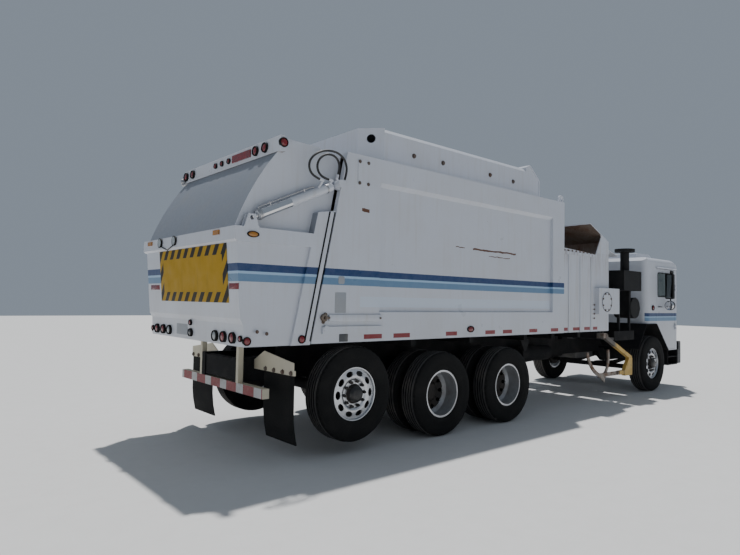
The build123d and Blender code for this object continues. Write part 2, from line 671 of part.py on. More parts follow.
def rod_lug():
    """Pair of ears on the ledge that hold the cylinder rod's eye."""
    x, z = ROD_PIN
    ear = [(x - 80, LEDGE_TOP), (x - 38, z + 38), (x + 38, z + 38), (x + 80, LEDGE_TOP)]
    made = None
    for y0, y1 in ((CYL_Y - ROD_R - 15, CYL_Y - ROD_R - 6), (CYL_Y + ROD_R + 6, CYL_Y + ROD_R + 15)):
        plate = side_shape(ear, y0, y1)
        made = plate if made is None else made + plate
    return made - rod_y(x, z, CYL_Y - 60, CYL_Y + 60, PIN_R)


def foot_face(z):
    """Station of the tailgate's rear face at height z, below the bevel."""
    return TG_REAR + LOW_IN - FOOT_LEAN * (z - TG_BOTTOM) / (BEVEL_Z[0] - TG_BOTTOM)


def round_lamp(face, y, z, r):
    return rod_x(y, z, face - LAMP_DEPTH, face - FIT, r)


def tail_lamps():
    """Lamps on the bar, on the ledge and along the foot of the tailgate."""
    bar_face = BAR_X - BAR_PROUD
    lamps = [round_lamp(bar_face, y, LAMP_Z, r) for y, r in BAR_LAMPS]
    for side in (1, -1):
        lamps += [round_lamp(foot_face(LOW_LAMP_Z + r), side * y, LOW_LAMP_Z, r) for y, r in LOW_LAMPS]
    lamps.append(round_lamp(foot_face(1420), 0, 1398, 22))
    lamps.append(block((bar_face - LAMP_DEPTH, bar_face - FIT), (-584, -167), (LAMP_Z - 42, LAMP_Z + 42)))
    for y in (986, -833):
        height = (LEDGE_LAMP_Z - 24, LEDGE_LAMP_Z + 24)
        lamps.append(block((TG_LEDGE - LAMP_DEPTH, TG_LEDGE - FIT), (y - 65, y + 65), height))
    for y in (645, 222):
        lamps.append(rod_x(y, LEDGE_LAMP_Z - 10, TG_LEDGE - 22, TG_LEDGE - FIT, 48))
    return Compound(children=lamps)


def bored_body():
    """Body with its hinge ears and the forks for the tailgate cylinders."""
    shell = body_shell() + both_sides(cylinder_fork())
    for y in (-HINGE_Y, HINGE_Y):
        shell -= rod_y(HINGE[0], HINGE[1], y - 30, y + 30, HINGE_PIN_R + FIT)
    return shell - both_sides(rod_y(CYL_PIN[0], CYL_PIN[1], CYL_Y - 60, CYL_Y + 60, PIN_R + FIT))


def cylinder_fork():
    """Two ears behind the rear post that hold the barrel's eye."""
    x, z = CYL_PIN
    made = None
    for y0, y1 in ((CYL_Y - EYE_T / 2 - FORK_GAP - 10, CYL_Y - EYE_T / 2 - FORK_GAP),
                   (CYL_Y + EYE_T / 2 + FORK_GAP, CYL_Y + EYE_T / 2 + FORK_GAP + 10)):
        ear = side_shape([(x - 25, z - 42), (x - 45, z), (x - 25, z + 42), (seam(z + 60) + 30, z + 60),
                          (seam(z - 60) + 30, z - 60)], y0, y1)
        made = ear if made is None else made + ear
    return made


def along(p, q, step):
    """The point step beyond p on the way to q, in X and Z."""
    length = math.hypot(q[0] - p[0], q[1] - p[1])
    return (p[0] + (q[0] - p[0]) * step / length, p[1] + (q[1] - p[1]) * step / length)


def rod_between(a, b, y, r):
    return rod((a[0], y, a[1]), (b[0], y, b[1]), r)


PIN_SPAN = math.hypot(CYL_PIN[0] - ROD_PIN[0], CYL_PIN[1] - ROD_PIN[1])


def barrel():
    """Hollow tube with its pin and eye at the body end."""
    start, end = along(CYL_PIN, ROD_PIN, 78), along(CYL_PIN, ROD_PIN, PIN_SPAN - CYL_STROKE_ROOM)
    bore_from = along(CYL_PIN, ROD_PIN, 110)
    tube = rod_between(start, end, CYL_Y, BARREL_R) + hose_fittings()
    bore_end = along(CYL_PIN, ROD_PIN, PIN_SPAN - CYL_STROKE_ROOM + 5)
    tube -= rod_between(bore_from, bore_end, CYL_Y, ROD_R + FIT)
    neck = along(CYL_PIN, ROD_PIN, 90)
    eye = rod_y(CYL_PIN[0], CYL_PIN[1], CYL_Y - EYE_T / 2, CYL_Y + EYE_T / 2, EYE_R)
    eye += rod_between(CYL_PIN, neck, CYL_Y, EYE_T / 2)
    pin_half = EYE_T / 2 + FORK_GAP + 10
    pin = rod_y(CYL_PIN[0], CYL_PIN[1], CYL_Y - pin_half, CYL_Y + pin_half + 6, PIN_R)
    return tube + eye + pin


def hose_fittings():
    """Swivel on the end of the pin, and the steel ends that the two hoses meet face to face."""
    made = rod_y(CYL_PIN[0], CYL_PIN[1], CYL_Y + EYE_T / 2 + FORK_GAP + 14, HOSES[0][1] + HOSE_R, SWIVEL_R)
    for name, y, root, route in HOSES:
        ends = ((route[0], route[1], (root[0], CYL_Y, root[1])),
                (route[-1], route[-2], (CYL_PIN[0], y, CYL_PIN[1])))
        for tip, before, base in ends:
            far = along(tip, before, -FITTING_L)
            made += rod((tip[0], y, tip[1]), (far[0], y, far[1]), HOSE_R + 2)
            made += rod((far[0], y, far[1]), base, HOSE_R) + Pos(far[0], y, far[1]) * Sphere(HOSE_R + 2)
    return made


def hose(y, route):
    """A hose as straight runs joined by tangent arcs, each as large as its two runs allow."""
    radii = []
    for a, b, c in zip(route, route[1:], route[2:]):
        turn = math.atan2(c[1] - b[1], c[0] - b[0]) - math.atan2(b[1] - a[1], b[0] - a[0])
        turn = abs(math.remainder(turn, 2 * math.pi))
        radii.append(0.45 * min(math.dist(a, b), math.dist(b, c)) / math.tan(turn / 2))
    path = FilletPolyline(*[(x, y, z) for x, z in route], radius=radii)
    section = Plane(origin=path @ 0, z_dir=path % 0) * Circle(HOSE_R)
    tube = sweep(section, path=path)
    share = tube.volume / (math.pi * HOSE_R ** 2 * path.length)
    print(f"hose length {path.length:.0f} mm, volume share {share:.4f}, radii", [round(r) for r in radii])
    return tube


def piston_rod():
    """Rod in the barrel's bore, with an open eye at the tailgate."""
    inner = along(CYL_PIN, ROD_PIN, 130)
    neck = along(CYL_PIN, ROD_PIN, PIN_SPAN - EYE_R + 6)
    shaft = rod_between(inner, neck, CYL_Y, ROD_R)
    eye = rod_y(ROD_PIN[0], ROD_PIN[1], CYL_Y - EYE_T / 2, CYL_Y + EYE_T / 2, EYE_R)
    bore = rod_y(ROD_PIN[0], ROD_PIN[1], CYL_Y - 40, CYL_Y + 40, PIN_R)
    return shaft + eye - bore


# Cab
CAB_OUTLINE = [
    (CAB_REAR, ARCH_TOP), (CAB_REAR, CAB_TOP - 70), (CAB_REAR + 70, CAB_TOP), (CAB_FRONT - 330, CAB_TOP),
    (CAB_FRONT - 130, CAB_TOP - 110), (CAB_FRONT - 30, 1500), (CAB_FRONT - 30, CAB_LOW),
    (ARCH_FRONT, CAB_LOW), (DOOR_REAR, ARCH_TOP),
]
SCREEN_Z = (1560.0, 2440.0)


def cab_prism(shrink):
    """The cab's outer form, or its inner form when shrink is the wall: three outlines that meet."""
    wire = Polyline(*[(x, 0, z) for x, z in CAB_OUTLINE], close=True)
    face = make_face(wire)
    if shrink:
        face = offset(face, -shrink)
    half = CAB_HALF - shrink
    side = Pos(0, -half, 0) * extrude(face, amount=2 * half, dir=(0, 1, 0))
    rear, front, top = CAB_REAR + shrink, CAB_FRONT - 30 - shrink, CAB_TOP - shrink
    corner, brow = CAB_CORNER - shrink, CAB_BROW - shrink
    plan = extrude(RectangleRounded(front - rear, 2 * half, corner), amount=CAB_TOP)
    across = Plane.YZ * RectangleRounded(2 * half, top, brow)
    across = extrude(across, amount=CAB_FRONT, dir=(1, 0, 0))
    skirt = block((0, CAB_FRONT), (-half, half), (0, top / 2))
    return side & (Pos((rear + front) / 2, 0, 0) * plan) & (Pos(0, 0, top / 2) * across + skirt)


def door_outline(grow=0.0):
    """The door's edge, or the opening round it when grow is the gap."""
    g = grow
    return [
        (DOOR_REAR + 30 - g, ARCH_TOP + 10 - 0.43 * g), (DOOR_REAR + 30 - g, DOOR_TOP + g),
        (DOOR_FRONT + g, DOOR_TOP + g),
        (DOOR_FRONT + g, CAB_LOW + 30 - g), (ARCH_FRONT + 25 - 0.42 * g, CAB_LOW + 30 - g),
    ]


def window_outline(grow=0.0):
    g = grow
    return [(DOOR_REAR + 100 - g, SILL_GLASS - g), (DOOR_REAR + 100 - g, GLASS_TOP + g),
            (DOOR_FRONT - 90 + g, GLASS_TOP + g), (DOOR_FRONT - 90 + g, SILL_GLASS - g)]


def cab_shell():
    shell = cab_prism(0) - cab_prism(CAB_T)
    shell -= both_sides(side_shape(door_outline(DOOR_GAP), CAB_HALF - CAB_T - 5, CAB_HALF + 5))
    shell -= block((CAB_FRONT - 260, CAB_FRONT + 10), (-CAB_HALF + 130, CAB_HALF - 130), SCREEN_Z)
    shell += both_sides(door_hinge(False) + visor() + door_step())
    return shell + cab_mounts() + grille() + roof_pod()


def visor():
    """Rain gutter over the door, clear of the door's swing."""
    edge = CAB_HALF + 50
    return cross_shape([(CAB_HALF - 3, DOOR_TOP + 45), (edge, DOOR_TOP + 20), (edge, DOOR_TOP + 12),
                        (CAB_HALF - 3, DOOR_TOP + 12)], DOOR_REAR, DOOR_FRONT + 20)


def door_step():
    """Two treads under the door, between end plates."""
    y = (CAB_HALF - 210, CAB_HALF - 5)
    made = block(STEP_X, y, (STEP_Z, STEP_Z + 20)) + block(STEP_X, y, (STEP_Z + 160, STEP_Z + 176))
    for x in (STEP_X[0], STEP_X[1] - 12):
        made += block((x, x + 12), y, (STEP_Z, CAB_LOW))
    return made


def grille():
    """Frame with level slats on the cab's front."""
    face, half = CAB_FRONT - 30, 620
    low, high = GRILLE_Z
    made = block((face - 2, face + 14), (-half, half), (low, high))
    made -= block((face, face + 20), (-half + 25, half - 25), (low + 25, high - 25))
    pitch = (high - low - 50) / 6
    for i in range(6):
        z = low + 25 + (i + 0.5) * pitch
        made += block((face - 2, face + 12), (-half + 20, half - 20), (z - 16, z + 16))
    return made


def roof_pod():
    """Low box on the roof and a round base behind it."""
    x0, x1 = ROOF_POD
    top = CAB_TOP + 125
    pod = side_shape([(x0, CAB_TOP - 4), (x0 + 30, top - 10), (x0 + 70, top), (x1 - 130, top),
                      (x1 - 30, top - 60),
                      (x1, CAB_TOP - 4)], -760, 760)
    return pod + rod_z(x0 - 140, 300, CAB_TOP - 4, CAB_TOP + 70, 75)


def cab_mounts():
    """Feet that carry the cab on the rails."""
    feet = block((7050, 7200), (RAIL_Y - RAIL_W, RAIL_Y), (DROP_TOP, CAB_LOW + 20))
    return both_sides(feet)


def windscreen():
    """Flat pane set in the front opening, leaning back as the front does."""
    (x_low, z_low), (x_high, z_high) = (CAB_FRONT - 30, 1500), (CAB_FRONT - 130, CAB_TOP - 110)
    lean = (x_high - x_low) / (z_high - z_low)
    z0, z1 = SCREEN_Z[0] + FIT, SCREEN_Z[1] - FIT
    back = 18
    pane = [(x_low + (z - z_low) * lean - back, z) for z in (z0, z1)]
    outline = [pane[0], pane[1], (pane[1][0] - GLASS_T, z1), (pane[0][0] - GLASS_T, z0)]
    half = CAB_HALF - 130 - FIT
    return side_shape(outline, -half, half)


HINGE_LINE = (DOOR_FRONT + 3, CAB_HALF + 20)
HINGE_HEIGHTS = (1250.0, 2050.0)


def door_hinge(moving):
    """The door's or the cab's knuckles on the outside of the front edge."""
    x, y = HINGE_LINE
    made = None
    for z in HINGE_HEIGHTS:
        spans = [(z - 20, z + 20)] if moving else [(z - 60, z - 21), (z + 21, z + 60)]
        for z0, z1 in spans:
            leaf = block((x - 45, x) if moving else (x, x + 45), (CAB_HALF - 1, y + 6), (z0, z1))
            knuckle_part = leaf + rod_z(x, y, z0, z1, DOOR_HINGE_R)
            if moving:
                knuckle_part -= rod_z(x, y, z0 - 5, z1 + 5, 8 + FIT)
            made = knuckle_part if made is None else made + knuckle_part
        if not moving:
            made += rod_z(x, y, z - 58, z + 58, 8)
    return made


def door(side):
    slab = side_shape(door_outline(), CAB_HALF - CAB_T, CAB_HALF)
    slab -= side_shape(window_outline(), CAB_HALF - CAB_T - 5, CAB_HALF + 5)
    slab += door_hinge(True)
    return slab if side > 0 else mirror(slab, about=Plane.XZ)


def door_glass(side):
    pane = side_shape(window_outline(-FIT), CAB_HALF - 24, CAB_HALF - 24 + GLASS_T)
    return pane if side > 0 else mirror(pane, about=Plane.XZ)


MIRROR_AT = (6700.0, 1312.0)
MIRROR_SIZE = (80.0, 154.0)
MIRROR_Z = (1816.0, 2323.0)


def mirror_set(side):
    """Tall mirror and a round one below it on arms from the door."""
    x, y = MIRROR_AT
    dx, dy = MIRROR_SIZE[0] / 2, MIRROR_SIZE[1] / 2
    head = block((x - dx, x + dx), (y - dy, y + dy), MIRROR_Z)
    head = fillet(head.edges().filter_by(Axis.X), 25)
    low = MIRROR_Z[0] - 130
    round_one = rod_x(y, low, x - 20, x + 25, 95)
    post = rod_z(x + 34, y, low - 70, MIRROR_Z[1] + 70, 12)
    arms = None
    for z in (low - 50, MIRROR_Z[1] + 50):
        arm = rod((x + 34, y, z), (DOOR_FRONT - 130, CAB_HALF + 14, z), 8)
        foot = block((DOOR_FRONT - 170, DOOR_FRONT - 100), (CAB_HALF, CAB_HALF + 25), (z - 35, z + 35))
        arms = arm + foot if arms is None else arms + arm + foot
    made = head + round_one + post + arms
    return made if side > 0 else mirror(made, about=Plane.XZ)


def cab_seats():
    """Two seats on boxes over the front axle."""
    made = None
    for y in (-620, 620):
        base = block((6390, 6680), (y - 230, y + 230), (1400, 1520))
        cushion = block((6200, 6720), (y - 250, y + 250), (1520, 1640))
        back = side_shape([(6180, 1640), (6110, 2240), (6210, 2250), (6310, 1640)], y - 240, y + 240)
        one = cushion + back + base
        made = one if made is None else made + one
    shelf = block((CAB_REAR + CAB_T, 6700), (-900, 900), (ARCH_TOP + CAB_T, 1400))
    return made + shelf


def dashboard():
    """Panel under the screen, with the driver's wheel on its column."""
    inner = CAB_HALF - CAB_T
    panel = side_shape([(7200, 1180), (7180, 1400), (7260, 1480), (CAB_FRONT - 30 - CAB_T - FIT, 1480),
                        (CAB_FRONT - 30 - CAB_T - FIT, 1180)], -inner, inner)
    panel = panel & cab_prism(CAB_T + FIT)
    column = rod((7250, 620, 1400), (7010, 620, 1610), 30)
    hub = Plane(origin=(7010, 620, 1610), z_dir=(-240, 0, 210)) * Torus(215, 16)
    spoke = Plane(origin=(7010, 620, 1610), z_dir=(-240, 0, 210)) * Box(50, 425, 14)
    return panel + column + hub + spoke


def front_bumper():
    outline = [(7450, 470), (FRONT_END - 15, 470), (FRONT_END, 500), (FRONT_END, 905),
               (FRONT_END - 15, 935), (7450, 935)]
    inner = [(7440, 482), (FRONT_END - 12, 482), (FRONT_END - 12, 923), (7440, 923)]
    made = side_shape(outline, -CAB_HALF, CAB_HALF) - side_shape(inner, -CAB_HALF + 12, CAB_HALF - 12)
    made -= block((7440, CAB_FRONT - 29.7), (-CAB_HALF - 5, CAB_HALF + 5), (CAB_LOW - 0.3, 940))
    made += both_sides(block((RAIL_FRONT, FRONT_END - 12), (RAIL_Y - 75, RAIL_Y - 10), (600, 720)))
    return made - both_sides(rod_x(930, 700, 7580, 7610, HEADLAMP_R + FIT))


HEADLAMP_R = 85.0


def head_lamps():
    lamp = rod_x(930, 700, 7540, FRONT_END - 3, HEADLAMP_R)
    return both_sides(lamp)


def wheel_arches():
    """Black arches over the front wheels, under the cab's edge."""
    t = 12
    outer = [(5540, 850), (5900, ARCH_TOP), (DOOR_REAR, ARCH_TOP), (ARCH_FRONT, CAB_LOW)]
    inner = [(ARCH_FRONT - 17, CAB_LOW), (DOOR_REAR - 5, ARCH_TOP - t), (5905, ARCH_TOP - t), (5552, 845)]
    strip = side_shape(outer + inner, 840, CAB_HALF + 30)
    brace = block((5500, 5546), (RAIL_Y, 845), (826, 862))
    return both_sides(strip + brace)


# Service bay
def service_deck():
    """Platform beside the engine, with a skirt."""
    deck = block(DECK_X, (RAIL_Y - RAIL_W, DECK_Y), (RAIL_TOP, RAIL_TOP + DECK_T))
    return deck + block(DECK_X, (DECK_Y - DECK_T, DECK_Y), (RAIL_TOP, RAIL_TOP + 170))


def engine():
    """One plain block with its feet on the decks, and the radiator ahead of it."""
    block_part = block(ENGINE_X, (-ENGINE_HALF, ENGINE_HALF), ENGINE_Z)
    feet = None
    for x in (4860, 5300):
        foot = block((x, x + 90), (ENGINE_HALF - 5, RAIL_Y - 10), (RAIL_TOP + DECK_T, RAIL_TOP + DECK_T + 30))
        feet = foot if feet is None else feet + foot
    return block_part + both_sides(feet)


def air_cleaner():
    """Intake on the kerb side: stack, black box, round canister and their stand."""
    top = RAIL_TOP + DECK_T
    stand = block((4960, 5000), (-1100, -1060), (top, 1960))
    stand += block((5380, 5420), (-1100, -1060), (top, 1960))
    box = block((4930, 5640), (-1210, -920), (1950, 2320))
    canister = rod_y(5600, 1625, -1110, -760, 200) + block((5400, 5450), (-1095, -800), (1500, 1960))
    stack = rod_z(5400, -1000, 2315, 2700, 80) + rod_z(5400, -1000, 2690, 2750, 180)
    return stand + box + canister + stack


def side_pod():
    """Box on the kerb side of the hopper with a bolted round cover."""
    x, z = (3910, 4640), (1515, 1965)
    shell = block(x, (-1262, -HOPPER_Y), z) + block((HOPPER_FRONT, 4640), (-HOPPER_Y, -1000), z)
    shell -= block((3930, 4620), (-1248, -HOPPER_Y - 8), (1530, 1950))
    return shell + rod_y(4173, 1724, -1270, -1255, 170)


def air_tanks():
    """Round tanks hung outside each rail."""
    tank = rod_x(620, 850, 2450, 3300, 125)
    for x in (2600, 3100):
        tank += block((x, x + 60), (RAIL_Y, 620), (830, 890))
    return both_sides(tank)


def rear_bumper():
    """Channel on posts outside the rails, with the plates that carry the mud flaps."""
    low, high = BUMPER_Z
    x = (RAIL_REAR, RAIL_REAR + 80)
    bar = block(x, (-1000, 1000), BUMPER_Z) - block((x[0] + 8, x[1] + 10), (-1010, 1010), (low + 8, high - 8))
    post = block((x[0], x[0] + 60), (RAIL_Y, RAIL_Y + 50), (high - 8, BODY_BOTTOM - 30))
    ends = block((x[0], x[1]), (992, 1000), BUMPER_Z)
    return bar + both_sides(post + ends) + both_sides(flap_bracket())


def flap_bracket():
    """Plate from the rail with a sloping top, and the strip that clamps the flap to it."""
    front = FLAP_X + FLAP_T
    plate = cross_shape([(RAIL_Y, FLAP_TOP - 60), (RAIL_Y, 1000), (640, 1110), (FLAP_Y[1] + 8, 1030),
                         (FLAP_Y[1] + 8, FLAP_TOP - 60)], FLAP_X - 10, FLAP_X)
    clamp = block((front, front + 8), (FLAP_Y[0] - 10, FLAP_Y[1] + 8), (FLAP_TOP - 60, FLAP_TOP - 10))
    for y in ((FLAP_Y[0] - 10, FLAP_Y[0]), (FLAP_Y[1], FLAP_Y[1] + 8)):
        clamp += block((FLAP_X - 5, front + 8), y, (FLAP_TOP - 60, FLAP_TOP - 10))
    return plate + clamp


def mud_flaps():
    """Rubber sheets that curl forward at the foot."""
    a, b = FLAP_X, FLAP_X + FLAP_T
    flap = side_shape([(a, FLAP_TOP), (b, FLAP_TOP), (b, 480), (b + 14, 340), (b + 44, 200), (a + 44, 196),
                       (a + 14, 336), (a, 480)], *FLAP_Y)
    return both_sides(flap)


# Side arm
def reach_sleeve():
    """Square tube across the rails that carries the sliding beam."""
    out = BEAM_W / 2 + SLIDE_FIT + SLEEVE_T
    bore = BEAM_W / 2 + SLIDE_FIT
    tube = block((ARM_X - out, ARM_X + out), SLEEVE_Y, (ARM_Z - out, ARM_Z + out))
    ends = (SLEEVE_Y[0] - 5, SLEEVE_Y[1] + 5)
    tube -= block((ARM_X - bore, ARM_X + bore), ends, (ARM_Z - bore, ARM_Z + bore))
    tube += both_sides(block((ARM_X - 90, ARM_X + 90), (RAIL_Y - 80, RAIL_Y), (RAIL_TOP, ARM_Z - out)))
    for y in (-800, 0, 500):
        tube += block((ARM_X - 90, ARM_X + 90), (y - 40, y + 40), (ARM_Z + out, BODY_BOTTOM))
    return tube


def reach_beam():
    """Beam in the sleeve, with a stub pin for the boom at its outer end."""
    half = BEAM_W / 2
    beam = block((ARM_X - half, ARM_X + half), (BOOM_Y - 40, SLEEVE_Y[1] - 60), (ARM_Z - half, ARM_Z + half))
    front = ARM_X + half
    pin = rod_x(BOOM_Y, ARM_Z, front - 5, front + 6 + BOOM_T + 6, BOOM_PIN_R)
    washer = rod_x(BOOM_Y, ARM_Z, front + BOOM_T + 7, front + BOOM_T + 17, BOOM_PIN_R + 14)
    return beam + pin + washer


def strip(points, width, y0, y1):
    """A bar of even width along points in X and Z."""
    made = None
    for (xa, za), (xb, zb) in zip(points, points[1:]):
        length = math.hypot(xb - xa, zb - za)
        nx, nz = (za - zb) / length * width / 2, (xb - xa) / length * width / 2
        corners = [(xa + nx, za + nz), (xb + nx, zb + nz), (xb - nx, zb - nz), (xa - nx, za - nz)]
        bar = side_shape(corners, y0, y1)
        made = bar if made is None else made + bar
    return made


def boom():
    """Bent arm: hub, sloping beam, tapered leg and foot."""
    y0, y1 = BOOM_Y - BOOM_T / 2, BOOM_Y + BOOM_T / 2
    hub_x = ARM_X + BEAM_W / 2 + 6
    hub = rod_x(BOOM_Y, ARM_Z, hub_x, hub_x + BOOM_T, BOOM_HUB_R)
    beam = strip([(hub_x + 20, ARM_Z - 25), ELBOW], BEAM_DEPTH, y0, y1)
    ex, ez = ELBOW
    leg = side_shape([(ex - 85, ez + 12), (ex, ez + 30), (ex + 30, ez - 10), (ex + 30, BOOM_FOOT),
                      (ex - 260, BOOM_FOOT),
                      (ex - 260, HAND_Z + 35)], y0, y1)
    foot = block((HAND_X, ex - 250), (y0, y1), (HAND_Z - 35, HAND_Z + 35))
    bore = rod_x(BOOM_Y, ARM_Z, hub_x - 30, hub_x + BOOM_T + 1, BOOM_PIN_R + FIT)
    hand_pin = rod_x(BOOM_Y, HAND_Z, HAND_X - 62, HAND_X + 5, HAND_PIN_R)
    relief = rod_x(BOOM_Y, ARM_Z, hub_x + BOOM_T, hub_x + BOOM_T + 22, BOOM_PIN_R + 20)
    return hub + beam + leg + foot - bore - relief + hand_pin


def hand():
    """Palm bar that turns on the boom's foot, with two finger pins."""
    bar = block((4060, HAND_X - 5), (BOOM_Y - 10, BOOM_Y + 10), (HAND_Z - 35, HAND_Z + 35))
    bar += rod_x(BOOM_Y, HAND_Z, HAND_X - 70, HAND_X - 5, 34)
    bar -= rod_x(BOOM_Y, HAND_Z, HAND_X - 65, HAND_X, HAND_PIN_R + FIT)
    for x, side in zip(FINGER_PINS, (1, -1)):
        y = BOOM_Y + side * 10
        bar += rod_y(x, HAND_Z, y, y + side * (FINGER_T + 2), FINGER_PIN_R)
    return bar


def finger(index):
    """Curved finger on one face of the palm bar."""
    x, tip = FINGER_PINS[index], FINGER_TIPS[index]
    side = (1, -1)[index]
    ya = BOOM_Y + side * 11
    yb = ya + side * FINGER_T
    y0, y1 = min(ya, yb), max(ya, yb)
    bend = ((x + tip[0]) / 2 + (60 if index == 0 else -95), (HAND_Z + tip[1]) / 2 - 20)
    tail = (x - 45, HAND_Z - 120) if index == 0 else (x + 70, HAND_Z - 60)
    plate = arc_bar([(x, HAND_Z), bend, tip], FINGER_W, y0, y1) + rod_y(x, HAND_Z, y0, y1, 42)
    plate += strip([tail, (x, HAND_Z)], FINGER_W, y0, y1) + rod_y(tip[0], tip[1], y0, y1, FINGER_W / 2)
    return plate - rod_y(x, HAND_Z, y0 - 5, y1 + 5, FINGER_PIN_R + FIT)


def main():
    save("frame_rails", frame_rails())
    save("drive_tandem", drive_tandem())
    save("tag_axle", tag_axle())
    save("front_axle", front_axle())
    save("knuckle_left", knuckle(1))
    save("knuckle_right", knuckle(-1))
    wheels()
    save("body_shell", bored_body())
    save("roof_hood", roof_hood())
    save("hopper", hopper())
    save("packer", packer())
    save("tailgate_shell", tailgate_shell())
    save("tail_lamps", tail_lamps())
    lift = [("cylinder_barrel", barrel()), ("cylinder_rod", piston_rod())]
    lift += [(f"hose_{name}", hose(y, route)) for name, y, root, route in HOSES]
    for name, shape in lift:
        save(f"{name}_left", shape)
        save(f"{name}_right", mirror(shape, about=Plane.XZ))
    for side, word in ((1, "left"), (-1, "right")):
        save(f"door_{word}", door(side))
        save(f"door_glass_{word}", door_glass(side))
        save(f"mirror_{word}", mirror_set(side))
    save("cab_shell", cab_shell())
    save("windscreen", windscreen())
    save("cab_seats", cab_seats())
    save("dashboard", dashboard())
    save("front_bumper", front_bumper())
    save("head_lamps", head_lamps())
    save("wheel_arches", wheel_arches())
    save("engine", engine())
    save("air_cleaner", air_cleaner())
    save("air_tanks", air_tanks())
    save("rear_bumper", rear_bumper())
    save("mud_flaps", mud_flaps())
    save("reach_sleeve", reach_sleeve())
    save("reach_beam", reach_beam())
    save("boom", boom())
    save("hand", hand())
    save("finger_front", finger(0))
    save("finger_rear", finger(1))


main()
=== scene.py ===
# %% [markdown]
# A refuse truck, dressed in Blender.
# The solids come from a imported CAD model, which we call the frame. Blender gives each of them its
# finish and adds what a solid model leaves out: tread, bolts, lamps, tape, hoses and stripes.
# Everything is in metres: X runs forward, Y to the driver's left and Z up, with the ground at Z 0.

# %% Load the frame
import math

import bpy
from mathutils import Matrix, Vector


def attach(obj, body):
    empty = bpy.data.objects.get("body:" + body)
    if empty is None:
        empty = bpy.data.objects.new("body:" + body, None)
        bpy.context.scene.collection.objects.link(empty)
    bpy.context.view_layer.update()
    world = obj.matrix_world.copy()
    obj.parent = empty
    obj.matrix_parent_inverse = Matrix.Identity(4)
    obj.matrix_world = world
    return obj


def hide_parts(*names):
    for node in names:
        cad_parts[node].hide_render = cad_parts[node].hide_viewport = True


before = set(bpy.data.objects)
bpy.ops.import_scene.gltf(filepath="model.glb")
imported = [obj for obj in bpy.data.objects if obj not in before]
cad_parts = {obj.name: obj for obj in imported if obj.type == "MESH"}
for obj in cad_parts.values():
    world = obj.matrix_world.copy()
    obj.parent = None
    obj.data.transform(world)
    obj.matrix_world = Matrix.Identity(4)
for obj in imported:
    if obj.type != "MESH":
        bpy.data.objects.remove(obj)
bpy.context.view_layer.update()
SIDES = ((1, "left"), (-1, "right"))

# %% [markdown]
# The camera stands where the photographer stood: behind the truck on the kerb side, with the lens
# at the height of the eyes. It looks forward along the side, a touch upward, and is rolled by one
# degree. The field of view was worked out from the photo's frame, 740 by 555 pixels, and Blender
# wants it as a focal length on a 36 mm wide sensor.

# %% Camera
PHOTO_WIDTH = 740
FOCAL_PIXELS = 567.5
SENSOR_WIDTH = 36.0
CAMERA_AT = Vector((-7.7233, -6.0626, 1.6751))
CAMERA_YAW, CAMERA_PITCH, CAMERA_ROLL = (math.radians(a) for a in (49.334, 2.327, 1.049))


def new_object(name, data):
    """Adds an object that shows this data to the scene."""
    obj = bpy.data.objects.new(name, data)
    bpy.context.scene.collection.objects.link(obj)
    return obj


def camera_turn(yaw, pitch, roll):
    """Rotation of a camera that looks along yaw and pitch, with its right side dropped by roll."""
    ahead = Vector((math.cos(yaw) * math.cos(pitch), math.sin(yaw) * math.cos(pitch), math.sin(pitch)))
    right = Vector((ahead.y, -ahead.x, 0)).normalized()
    up = right.cross(ahead)
    tilted_right = math.cos(roll) * right + math.sin(roll) * up
    tilted_up = -math.sin(roll) * right + math.cos(roll) * up
    return Matrix((tilted_right, tilted_up, -ahead)).transposed()


camera_data = bpy.data.cameras.new("photo_camera")
camera_data.sensor_width = SENSOR_WIDTH
camera_data.lens = FOCAL_PIXELS / PHOTO_WIDTH * SENSOR_WIDTH
camera_data.clip_end = 200.0
camera = new_object("photo_camera", camera_data)
turn = camera_turn(CAMERA_YAW, CAMERA_PITCH, CAMERA_ROLL)
camera.matrix_world = Matrix.Translation(CAMERA_AT) @ turn.to_4x4()
bpy.context.scene.camera = camera
print("lens", round(camera_data.lens, 2))

# %% [markdown]
# A pale floor and soft light, as in a studio. One lamp stands in for a veiled sun. It stands high,
# ahead of the truck and to its far side, so the kerb side and the rear are in open shade, as they
# are in the photo. Two wide lamps near the ground lift those two, and a bluish world fills the rest.

# %% Floor and light
FLOOR_SIZE = 90.0
SKY, SKY_STRENGTH = (0.72, 0.84, 1.0, 1), 0.32
LIGHTS = (
    # name, kind, power, where it stands, where it points, size in degrees or metres
    ("veiled_sun", "SUN", 3.6, (3.4, 3.0, 12), (0, 0, 0), 1.6),
    ("side_fill", "AREA", 40, (-2, -13, 2.2), (0, 0, 1.9), 4),
    ("rear_fill", "AREA", 24, (-14, 1, 2.2), (-4, 0, 2.0), 4),
)


def select_none():
    """Clears the selection, since an operator acts on all that is selected."""
    if bpy.context.object and bpy.context.object.mode != "OBJECT":
        bpy.ops.object.mode_set(mode="OBJECT")
    bpy.ops.object.select_all(action="DESELECT")


select_none()
bpy.ops.mesh.primitive_plane_add(size=FLOOR_SIZE)
floor = bpy.context.object
floor.name = "studio_floor"

world = bpy.data.worlds.new("studio_world")
world.use_nodes = True
world.node_tree.nodes["Background"].inputs["Color"].default_value = SKY
world.node_tree.nodes["Background"].inputs["Strength"].default_value = SKY_STRENGTH
bpy.context.scene.world = world
for name, kind, power, place, target, size in LIGHTS:
    data = bpy.data.lights.new(name, kind)
    data.energy = power
    if kind == "AREA":
        data.size = size
    else:
        data.angle = math.radians(size)
    lamp = new_object(name, data)
    lamp.location = place
    lamp.rotation_euler = (Vector(target) - Vector(place)).to_track_quat("-Z", "Y").to_euler()
print("lights", len(LIGHTS))

